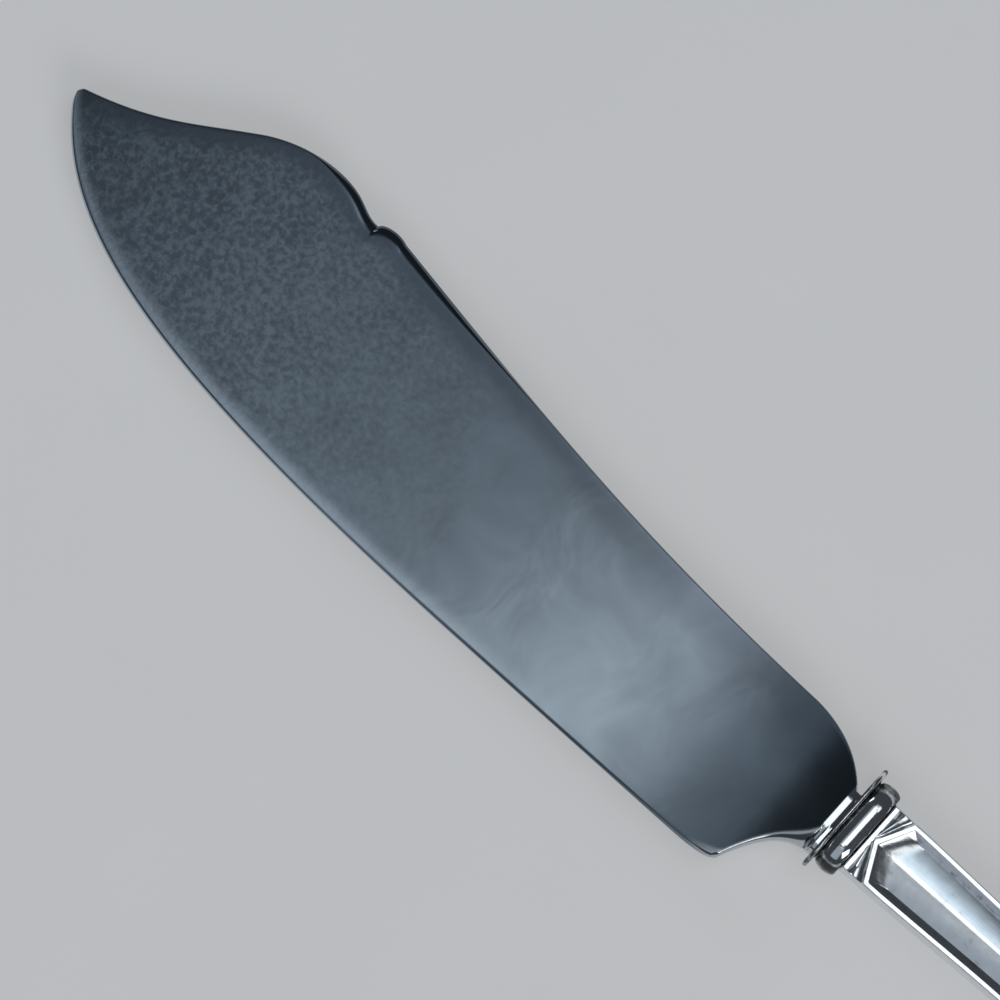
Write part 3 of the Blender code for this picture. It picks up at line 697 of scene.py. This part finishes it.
def blade_marks(blade, section):
    """How worn and how pitted each point of a section is, and how much painted shade it takes along the spine.
    """
    x, low, _ = section[0]
    high = section[-1][1]
    worn = smooth(-(x + blade.wear_setback) / blade.wear_fade)
    pitted = smooth(-(x + blade.pit_setback) / blade.pit_fade)
    narrowed = smooth(-(x + blade.spine_shade_setback) / blade.spine_shade_fade)
    reach = blade.spine_shade_width * blend(blade.spine_shade_spread, 1.0, narrowed)
    marks = {"wear": [], "pitting": [], "spine_shade": []}
    for _, y, _ in section:
        inside = smooth((high - y) / blade.pit_margin)
        marks["wear"].append(worn * smooth(1 - (y - low) / blade.wear_width))
        marks["pitting"].append(pitted * blend(blade.pit_least, 1.0, inside))
        # Painted shade along the spine, widest at the heel
        marks["spine_shade"].append(blade.spine_shade_depth * smooth(1 - (high - y) / reach))
    return marks


def build_blade(blade, material):
    """One forging: blade, neck, shoulder and tang."""
    spine = spine_outline(blade)
    edge = edge_outline(blade)
    sections = [blade_section(blade, x, spine, edge) for x in blade_stations(blade)]
    columns = len(sections[0][0])
    for x in (0.0, TANG_LENGTH):
        half = blade.tang_half_width * blend(1.0, blade.tang_taper, x / TANG_LENGTH)
        across = [blend(-half, half, column / (columns - 1)) for column in range(columns)]
        sections.append(([(x, y, blade.tang_half_thickness) for y in across], [1.0] * columns))
    points = []
    attributes = {"polish": [], "wear": [], "pitting": [], "spine_shade": []}
    for section, polish in sections:
        points += section + [(x, y, -z) for x, y, z in reversed(section)]
        for label, values in {"polish": polish, **blade_marks(blade, section)}.items():
            attributes[label] += values + values[::-1]
    ring = 2 * columns
    last = (len(sections) - 1) * ring
    faces = quads(len(sections), ring, closed=True)
    faces.append(tuple(range(ring)))
    faces.append(tuple(range(last, last + ring)))
    return make_piece("blade_steel_forging", points, faces, material, attributes)


def oblong(half_y, half_z, corner, steps=20):
    """A closed rounded oblong in the plane across the knife."""
    corner = min(corner, CORNER_SHARE * half_z)
    points = []
    for turn, side, top in ((0, 1, 1), (1, -1, 1), (2, -1, -1), (3, 1, -1)):
        for step in range(steps + 1):
            bearing = math.pi / 2 * (turn + step / steps)
            y = side * (half_y - corner) + corner * math.cos(bearing)
            points.append((y, top * (half_z - corner) + corner * math.sin(bearing)))
    return points


def build_collar_ring(collar, material):
    """The collar's flange and core, with the bore that the tang passes."""
    core = (collar.core_width / 2, collar.core_thickness / 2)
    flange = (FLANGE_WIDTH / 2, FLANGE_THICKNESS / 2)
    bore = (collar.bore_width / 2, collar.bore_thickness / 2)
    half = collar.flange_length / 2
    # Each station's last value is its tarnish with painted shade: part on the flange, full on the fillet and
    # core, none in the bore
    stations = [(0.0, *bore, 0.0)]
    for turn in [0.0] + spread(0.0, math.pi, 10):
        x = half * (1 - math.cos(turn))
        inset = half * (1 - math.sin(turn))
        stations.append((x, flange[0] - inset, flange[1] - inset, collar.flange_tarnish_and_shade))
    for turn in [0.0] + spread(0.0, math.pi / 2, 6):
        x = collar.flange_length + collar.fillet * (1 - math.cos(turn))
        swell = (flange[1] - half - core[1]) * (1 - math.sin(turn))
        stations.append((x, core[0] + swell, core[1] + swell, 1.0))
    stations.append((COLLAR_LENGTH, *core, 1.0))
    stations.append((COLLAR_LENGTH, *bore, 0.0))
    points = []
    tarnish_and_shade_mask = []
    for x, half_y, half_z, tarnish_and_shade_amount in stations:
        ring = oblong(half_y, half_z, collar.corner)
        points += [(x, y, z) for y, z in ring]
        tarnish_and_shade_mask += [tarnish_and_shade_amount] * len(ring)
    columns = len(points) // len(stations)
    faces = quads(len(stations), columns, closed=True)
    last = (len(stations) - 1) * columns
    faces += [(i, (i + 1) % columns, last + (i + 1) % columns, last + i) for i in range(columns)]
    return make_piece("collar_flange_ring", points, faces, material, {"tarnish_and_shade_mask": tarnish_and_shade_mask}, sharp=50.0)


def path_object(name, points, closed):
    """A bare line of edges for a sweep to follow."""
    mesh = bpy.data.meshes.new(name)
    edges = [(i, i + 1) for i in range(len(points) - 1)]
    if closed:
        edges.append((len(points) - 1, 0))
    mesh.from_pydata([tuple(ORIGIN + Vector(point)) for point in points], edges, [])
    return add_object(name, mesh)


def sweep_tree(name, round_profile):
    """Nodes that sweep a round or a square profile along the edges of a line."""
    tree = bpy.data.node_groups.new(name, "GeometryNodeTree")
    tree.interface.new_socket("Line", in_out="INPUT", socket_type="NodeSocketGeometry")
    for label in ("Profile Width", "Profile Height"):
        tree.interface.new_socket(label, in_out="INPUT", socket_type="NodeSocketFloat")
    tree.interface.new_socket("Finish", in_out="INPUT", socket_type="NodeSocketMaterial")
    tree.interface.new_socket("Swept", in_out="OUTPUT", socket_type="NodeSocketGeometry")
    nodes = tree.nodes
    start = nodes.new("NodeGroupInput")
    to_curve = nodes.new("GeometryNodeMeshToCurve")
    scale = nodes.new("ShaderNodeCombineXYZ")
    if round_profile:
        profile = nodes.new("GeometryNodeCurvePrimitiveCircle")
        profile.inputs["Resolution"].default_value = 40
        profile.inputs["Radius"].default_value = 0.5
    else:
        profile = nodes.new("GeometryNodeCurvePrimitiveQuadrilateral")
        profile.inputs["Width"].default_value = 1.0
        profile.inputs["Height"].default_value = 1.0
    shape = nodes.new("GeometryNodeTransform")
    tube = nodes.new("GeometryNodeCurveToMesh")
    tube.inputs["Fill Caps"].default_value = True
    shading = nodes.new("GeometryNodeSetShadeSmooth")
    shading.inputs["Shade Smooth"].default_value = round_profile
    realize = nodes.new("GeometryNodeRealizeInstances")
    finish = nodes.new("GeometryNodeSetMaterial")
    end = nodes.new("NodeGroupOutput")
    scale.inputs["Z"].default_value = 1.0
    for source, target in (
        (start.outputs["Line"], to_curve.inputs["Mesh"]),
        (start.outputs["Profile Width"], scale.inputs["X"]),
        (start.outputs["Profile Height"], scale.inputs["Y"]),
        (profile.outputs["Curve"], shape.inputs["Geometry"]),
        (scale.outputs["Vector"], shape.inputs["Scale"]),
        (to_curve.outputs["Curve"], tube.inputs["Curve"]),
        (shape.outputs["Geometry"], tube.inputs["Profile Curve"]),
        (tube.outputs["Mesh"], shading.inputs["Geometry"]),
        (shading.outputs["Geometry"], realize.inputs["Geometry"]),
        (realize.outputs["Geometry"], finish.inputs["Geometry"]),
        (start.outputs["Finish"], finish.inputs["Material"]),
        (finish.outputs["Geometry"], end.inputs["Swept"]),
    ):
        tree.links.new(source, target)
    return tree


def sweep(piece, tree, width, height, material):
    """Run a sweep on a line, keep its result as a plain mesh and turn its faces outwards."""
    modifier = piece.modifiers.new("Sweep", "NODES")
    modifier.node_group = tree
    values = {"Profile Width": width, "Profile Height": height, "Finish": material}
    for socket in tree.interface.items_tree:
        if socket.name in values:
            modifier[socket.identifier] = values[socket.name]
    evaluated = piece.evaluated_get(bpy.context.evaluated_depsgraph_get())
    swept = bpy.data.meshes.new_from_object(evaluated)
    piece.modifiers.clear()
    line = piece.data
    piece.data = swept
    bpy.data.meshes.remove(line)
    turn_outwards(swept)
    swept.name = piece.name


def half_width(handle, x):
    """Half the handle's width at a distance behind its mouth."""
    widest = handle.length - handle.butt_round
    if x < handle.waist_setback:
        return blend(handle.mouth_width, handle.waist_width, smooth(x / handle.waist_setback)) / 2
    along = (x - handle.waist_setback) / (widest - handle.waist_setback)
    return blend(handle.waist_width, handle.butt_width, smooth(along)) / 2


def cross_row(handle, setback, lean, depth):
    """A row of points across the handle, from its outline to its ridge."""
    y = half_width(handle, setback + lean * half_width(handle, setback))
    land = y * handle.ridge_width / handle.butt_width
    outline = (setback + lean * y, y)
    return Row(outline, (0.0, -1.0), (setback, 0.0), (setback + lean * land, land), lean, depth)


def shell_rows(handle):
    """Rows from the mouth to the butt. Their depth counts what they have passed on the way in: the mouth at
    -4, the rim across it from -3 to -2, the chevron's rim from -1 to 0 and the panel from 1."""
    lean = handle.chevron_lean
    panel_lean = handle.panel_lean * lean
    rim_back = handle.chevron_setback + handle.chevron_rim
    panel = rim_back + handle.chevron_slope
    rows = [cross_row(handle, 0.0, 0.0, -4)]
    start, tilt, depth = 0.0, 0.0, -4
    for end, next_tilt, next_depth, count in (
        (handle.mouth_edge, 0.0, -3, 6),
        (handle.mouth_rim, 0.0, -2, 6),
        (handle.chevron_setback, lean, -1, 14),
        (rim_back, lean, 0, 8),
        (panel, panel_lean, 1, 30),
    ):
        for part in spread(0.0, 1.0, count):
            passed = 1 - (1 - part) ** SLOPE_HOLLOW if next_depth == 1 else part
            rows.append(cross_row(handle, blend(start, end, part), blend(tilt, next_tilt, part),
                                  blend(depth, next_depth, passed)))
        start, tilt, depth = end, next_tilt, next_depth
    for part in spread(0.0, 1.0, 20):
        turned = panel_lean * (1 - part) ** SLOPE_HOLLOW
        rows.append(cross_row(handle, panel + part * handle.chevron_fade, turned, 1))
    straight = handle.length - handle.butt_round
    for setback in spread(panel + handle.chevron_fade, straight, 70):
        rows.append(cross_row(handle, setback, 0.0, 1))
    half = handle.butt_width / 2
    land = handle.ridge_width / 2
    for turn in spread(0.0, math.pi / 2, 32):
        ahead = math.sin(turn)
        aside = math.cos(turn)
        slope = (ahead / handle.butt_round, aside / half)
        length = math.hypot(*slope)
        outline = (straight + handle.butt_round * ahead, half * aside)
        inward = (-slope[0] / length, -slope[1] / length)
        rows.append(Row(outline, inward, (straight, 0.0), (straight + land * ahead, land * aside), 0.0, 1))
    return rows


def shell_columns(handle):
    """Places in from the outline: how far, the height of the wall or none inside the rim, and the depth."""
    rim = RIDGE - handle.rim_drop
    columns = []
    for turn in [0.0] + spread(0.0, math.pi / 2, 16):
        inset = handle.wall_inset * (1 - math.cos(turn) ** WALL_ROUND)
        columns.append((inset, blend(SEAM, rim, math.sin(turn)), -1))
    for inset in spread(handle.wall_inset, handle.rim_inset, 4):
        columns.append((inset, rim, -1))
    for part in spread(0.0, 1.0, 16):
        straight = 1 - (1 - part) ** (1 / PANEL_FALL)
        columns.append((blend(handle.rim_inset, handle.panel_inset, part), None, straight))
    return columns


def crest_height(handle, x):
    """The height of the panel's ridge, which dips towards the chevron."""
    front = handle.chevron_setback + handle.chevron_rim + handle.chevron_slope
    return RIDGE - handle.ridge_dip * (1 - smooth((x - front - handle.dip_hold) / handle.dip_length))


def frame_height(handle, row, depth, y, panel):
    """The height of the shell on one row, for a depth up to that of the panel, whose height is given."""
    raised = max(0.0, min(1.0, row.depth + 2, 1 - row.depth)) * (1 - y / row.outline[1])
    rim = RIDGE - handle.rim_drop + handle.chevron_rise * raised
    if depth < -3:
        return blend(RIDGE - handle.mouth_drop, rim, math.sin(math.pi / 2 * (depth + 4)))
    if -2 < depth < -1:
        hollow = 1 - abs(2 * (depth + 2) - 1) ** CORNER_FLOOR
        return rim - handle.corner_dip * hollow * min(1.0, y / (handle.corner_fade * row.outline[1]))
    if depth < 0:
        return rim
    return blend(panel, rim, max(0.0, 1 - depth) ** PANEL_FALL)


def outer_line(handle, row):
    """Points of the framed outside along one row, from the seam to the ridge, and how much tarnish and painted
    shade each takes.
    """
    rim = RIDGE - handle.rim_drop
    low = RIDGE - handle.panel_drop
    places = []
    for distance, wall, depth in shell_columns(handle):
        x = row.outline[0] + (row.inward[0] - row.lean) * distance
        places.append((x, row.outline[1] + row.inward[1] * distance, wall, depth, low))
    edge = places[-1]
    for part in spread(0.0, 1.0, 22):
        crown = blend(part, part * (2 - part), handle.panel_crown)
        place = (blend(edge[0], row.land[0], part), blend(edge[1], row.land[1], part))
        places.append((*place, None, 1, blend(low, crest_height(handle, place[0]), crown)))
    for part in spread(0.0, 1.0, 4):
        place = (blend(row.land[0], row.ridge[0], part), blend(row.land[1], row.ridge[1], part))
        places.append((*place, None, 1, crest_height(handle, place[0])))
    points = []
    tarnish_and_shade_mask = []
    for x, y, wall, depth, panel in places:
        reached = min(depth, row.depth)
        if wall is not None:
            top = frame_height(handle, row, min(row.depth, 0), y, panel)
            height = blend(SEAM, top, (wall - SEAM) / (rim - SEAM))
        else:
            height = frame_height(handle, row, reached, y, panel)
        points.append((COLLAR_LENGTH + x, y, height))
        # Tarnish with painted shade, gathered at the foot of the rim and in the sunk corners
        tarnish_and_shade_amount = handle.border_tarnish_and_shade * math.exp(-((reached - TARNISH_SHADE_DEPTH) / TARNISH_SHADE_SPREAD) ** 2)
        if -2 < reached < -1 and wall is None:
            tarnish_and_shade_amount = handle.corner_tarnish_and_shade * (1 - abs(2 * (reached + 2) - 1))
        tarnish_and_shade_mask.append(tarnish_and_shade_amount)
    return points, tarnish_and_shade_mask


def inner_line(handle, row):
    """Points of the plain inside along one row, one wall's thickness in, and less under the dipped ridge."""
    points = []
    low = RIDGE - handle.panel_drop - handle.wall
    front = frame_height(handle, row, row.depth, row.outline[1], RIDGE - handle.panel_drop) - handle.wall
    roof = min(low, front)
    for distance, wall, _ in shell_columns(handle):
        inset = handle.wall + distance
        x = row.outline[0] + (row.inward[0] - row.lean) * inset
        y = row.outline[1] + row.inward[1] * inset
        rise = 1.0 if wall is None else (wall - SEAM) / (RIDGE - handle.rim_drop - SEAM)
        points.append((COLLAR_LENGTH + x, y, blend(SEAM, roof, rise)))
    edge = points[-1]
    ridge = (COLLAR_LENGTH + row.ridge[0], row.ridge[1])
    wider = handle.inner_ridge / handle.ridge_width
    land = (ridge[0] + wider * (row.land[0] - row.ridge[0]), wider * row.land[1])
    under_ridge = min(RIDGE - handle.wall, crest_height(handle, row.ridge[0]) - handle.thin_wall)
    top = under_ridge if row.depth > 0 else front
    for part in spread(0.0, 1.0, 22):
        points.append((blend(edge[0], land[0], part), blend(edge[1], land[1], part), blend(roof, top, part)))
    for part in spread(0.0, 1.0, 4):
        points.append((blend(land[0], ridge[0], part), blend(land[1], ridge[1], part), top))
    return points


def whole_row(half):
    """A row across both sides of the handle, from a row on one side."""
    return half + [(x, -y, z) for x, y, z in half[-2::-1]]


def build_shell(name, side, handle, material):
    """A stamped half of the handle, over the seam or under it. The two sides of its last row meet on the
    axis and are merged."""
    outer = []
    inner = []
    tarnish_and_shade_mask = []
    rows = shell_rows(handle)
    for row in rows:
        line, tarnish_and_shade_amount = outer_line(handle, row)
        outer += whole_row(line)
        tarnish_and_shade_mask += tarnish_and_shade_amount + tarnish_and_shade_amount[-2::-1]
        inner += whole_row(inner_line(handle, row))
    columns = len(outer) // len(rows)
    total = len(outer)
    faces = quads(len(rows), columns, closed=False)
    faces += [tuple(total + i for i in face[::-1]) for face in faces]
    for row in range(len(rows) - 1):
        for column in (0, columns - 1):
            near = row * columns + column
            far = near + columns
            faces.append((near, far, total + far, total + near))
    for column in range(columns - 1):
        faces.append((column, column + 1, total + column + 1, total + column))
    points = [(x, y, side * z) for x, y, z in outer + inner]
    # The outside takes tarnish with painted shade, the inside none
    piece = make_piece(name, points, faces, material, {"tarnish_and_shade_mask": tarnish_and_shade_mask + [0.0] * len(inner)})
    turn_outwards(piece.data, weld=True)
    return piece


def seam_path(handle):
    """The middle of the solder strip, from one side of the mouth round the butt to the other. It takes the
    rows at the mouth and along the panel."""
    points = []
    inset = handle.wall / 2
    for row in shell_rows(handle):
        if row.depth in (-4, 1):
            x = row.outline[0] + (row.inward[0] - row.lean) * inset
            points.append((COLLAR_LENGTH + x, row.outline[1] + row.inward[1] * inset, 0.0))
    return whole_row(points)


class KNIFE_OT_blade(Operator):
    """Build the satin blade with its notched spine, clipped tip, neck and tang"""

    bl_idname = "knife.blade"
    bl_label = "Blade"

    def execute(self, context):
        scene = context.scene
        piece = build_blade(scene.knife_blade, satin_steel(scene.knife_finish))
        seat(piece, "blade_steel", "blade")
        return {"FINISHED"}


class KNIFE_OT_collar(Operator):
    """Build the collar's flange and sweep its bead round it"""

    bl_idname = "knife.collar"
    bl_label = "Collar"

    def execute(self, context):
        collar = context.scene.knife_collar
        finish = context.scene.knife_finish
        # The collar's low sides take a painted dark reflection
        silver = worn_silver("collar_silver", finish, finish.collar_roughness, scratch=0.08,
                             side_painted_reflection=0.85)
        seat(build_collar_ring(collar, silver), "collar_silver", "collar")
        middle = collar.flange_length + collar.groove + collar.bead_length / 2
        ring = oblong(collar.core_width / 2, collar.core_thickness / 2, collar.corner, steps=24)
        bead = path_object("collar_bead", [(middle, y, z) for y, z in ring], closed=True)
        tree = sweep_tree("bead_sweep", round_profile=True)
        sweep(bead, tree, collar.bead_length, 2 * collar.bead_rise, silver)
        seat(bead, "collar_silver", "collar")
        return {"FINISHED"}


class KNIFE_OT_handle(Operator):
    """Build the two stamped half shells of the handle with their framed panels"""

    bl_idname = "knife.handle"
    bl_label = "Handle Shells"

    def execute(self, context):
        handle = context.scene.knife_handle
        finish = context.scene.knife_finish
        silver = worn_silver("handle_silver", finish, finish.silver_roughness, scratch=0.15,
                             side_painted_reflection=0.0)
        for name, node, side in (
            ("handle_front_stamping", "handle_front_shell", 1.0),
            ("handle_back_stamping", "handle_back_shell", -1.0),
        ):
            seat(build_shell(name, side, handle, silver), "handle_silver", node)
        return {"FINISHED"}


class KNIFE_OT_filling(Operator):
    """Sweep the solder round the handle's seam and give the cement inside its finish"""

    bl_idname = "knife.filling"
    bl_label = "Solder and Cement"

    def execute(self, context):
        handle = context.scene.knife_handle
        finish = context.scene.knife_finish
        dull = grainy("silver_solder", finish.solder, metallic=1.0, roughness=0.38, scale=2600.0,
                      depth=0.00001)
        strip = path_object("solder_line", seam_path(handle), closed=False)
        sweep(strip, sweep_tree("solder_sweep", round_profile=False), handle.wall, SEAM_THICKNESS, dull)
        seat(strip, "silver_solder", "seam_solder")
        grey = grainy("set_cement", finish.cement, metallic=0.0, roughness=0.9, scale=1400.0, depth=0.0001)
        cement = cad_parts["cement_filler"]
        cement.data.materials.clear()
        cement.data.materials.append(grey)
        return {"FINISHED"}


def add_softbox(name, place, aim, width, depth, glow, tint):
    """A rectangular lamp that shines on a place. Its glow is the brightness of its face."""
    lamp = bpy.data.lights.new(name, "AREA")
    lamp.shape = "RECTANGLE"
    lamp.size = width
    lamp.size_y = depth
    lamp.color = tint
    lamp.energy = glow * math.pi * width * depth
    holder = add_object(name, lamp)
    holder.location = place
    holder.rotation_euler = (Vector(aim) - Vector(place)).to_track_quat("-Z", "Y").to_euler()
    holder.visible_camera = False


class KNIFE_OT_stage(Operator):
    """Set the pale floor, the softboxes, the room's even light and the camera"""

    bl_idname = "knife.stage"
    bl_label = "Stage"

    def execute(self, context):
        scene = context.scene
        stage = scene.knife_stage
        self.add_floor(stage)
        self.add_lamps(stage)
        world = bpy.data.worlds.new("studio_room")
        world.use_nodes = True
        world.node_tree.nodes["Background"].inputs["Color"].default_value = opaque(stage.surroundings)
        scene.world = world
        scene.view_settings.view_transform = "Standard"
        self.add_camera(scene, stage)
        return {"FINISHED"}

    def add_floor(self, stage):
        """A wide plain floor at the plane that the knife lies on."""
        reach = stage.floor_reach
        level = CAD_BOX[0].z - stage.floor_gap
        corners = [(x * reach, y * reach, level) for x, y in ((-1, -1), (1, -1), (1, 1), (-1, 1))]
        mesh = bpy.data.meshes.new("floor")
        mesh.from_pydata(corners, [], [(0, 1, 2, 3)])
        mesh.materials.append(pale_floor(stage))
        add_object("floor", mesh)

    def add_lamps(self, stage):
        """Softboxes and cards over the knife, which its metal mirrors, and three lamps beside it."""
        plain = (1.0, 1.0, 1.0)
        cool = (0.90, 0.96, 1.0)
        blue = (0.80, 0.89, 1.0)
        sky = (0.73, 0.88, 1.0)
        for name, x, y, width, depth, glow, tint in (
            ("overhead_softbox", -0.0075, 0.0585, 0.135, 0.353, 1.68, plain),
            ("side_softbox", 0.105, 0.06, 0.090, 0.160, 1.75, cool),
            ("dim_card", -0.1260, 0.071, 0.100, 0.422, 0.36, blue),
            ("ridge_card", 0.06, -0.1815, 0.16, 0.127, 0.24, plain),
            ("chevron_card", 0.175, 0.30, 0.15, 0.30, 1.2, plain),
            ("bright_card", 0.06, 0.2575, 0.28, 0.045, 1.40, sky),
            ("half_card", 0.06, 0.3125, 0.28, 0.065, 1.05, sky),
            ("blue_card", 0.03, 0.3975, 0.22, 0.105, 0.38, sky),
        ):
            add_softbox(name, (x, y, stage.lamp_height), (x, y, 0.0), width, depth, glow, tint)
        for name, place, width, depth, glow, tint in (
            ("fill_card", (0.038, -0.482, 0.575), 0.40, 0.73, 0.37, blue),
            ("butt_softbox", (0.505, -0.285, 0.56), 0.45, 0.40, 2.2, plain),
            ("tip_softbox", (-0.562, 0.356, 0.358), 0.24, 0.24, 2.0, cool),
        ):
            add_softbox(name, place, (0.0, 0.0, 0.0), width, depth, glow, tint)

    def add_camera(self, scene, stage):
        """A long lens that looks down on the blade, with the handle running out of the view."""
        target = ORIGIN + Vector((-stage.aim_setback, stage.aim_rise, 0.0))
        flat = math.cos(stage.elevation)
        back = Vector((math.sin(stage.azimuth) * flat, -math.cos(stage.azimuth) * flat,
                       math.sin(stage.elevation)))
        data = bpy.data.cameras.new("camera")
        data.lens = data.sensor_width * stage.distance / stage.view_width
        data.clip_start = 0.01
        camera = add_object("camera", data)
        camera.location = target + back * stage.distance
        camera.rotation_euler = (-back).to_track_quat("-Z", "Y").to_euler()
        scene.camera = camera


class KNIFE_PT_sidebar(Panel):
    """Lists what the knife is made of"""

    bl_idname = "KNIFE_PT_sidebar"
    bl_label = "Butter Knife"
    bl_space_type = "VIEW_3D"
    bl_region_type = "UI"
    bl_category = "Butter Knife"

    def draw(self, context):
        for operator in OPERATORS:
            self.layout.operator(operator.bl_idname)
        for group in GROUPS:
            settings = getattr(context.scene, group)
            box = self.layout.box()
            for label in settings.__annotations__:
                box.prop(settings, label)


OPERATORS = (KNIFE_OT_blade, KNIFE_OT_collar, KNIFE_OT_handle, KNIFE_OT_filling, KNIFE_OT_stage)
GROUPS = {
    "knife_blade": BladeSizes,
    "knife_collar": CollarSizes,
    "knife_handle": HandleSizes,
    "knife_finish": KnifeFinish,
    "knife_stage": StageSettings,
}


def register():
    """Make the settings, the operators and the panel known to Blender."""
    for label, group in GROUPS.items():
        bpy.utils.register_class(group)
        setattr(bpy.types.Scene, label, PointerProperty(type=group))
    for kind in (*OPERATORS, KNIFE_PT_sidebar):
        bpy.utils.register_class(kind)


def unregister():
    """Take the panel, the operators and the settings away again."""
    for kind in (KNIFE_PT_sidebar, *reversed(OPERATORS)):
        bpy.utils.unregister_class(kind)
    for label, group in reversed(GROUPS.items()):
        delattr(bpy.types.Scene, label)
        bpy.utils.unregister_class(group)


def main():
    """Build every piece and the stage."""
    register()
    bpy.ops.knife.blade()
    bpy.ops.knife.collar()
    bpy.ops.knife.handle()
    bpy.ops.knife.filling()
    bpy.ops.knife.stage()


if __name__ == "__main__":
    main()
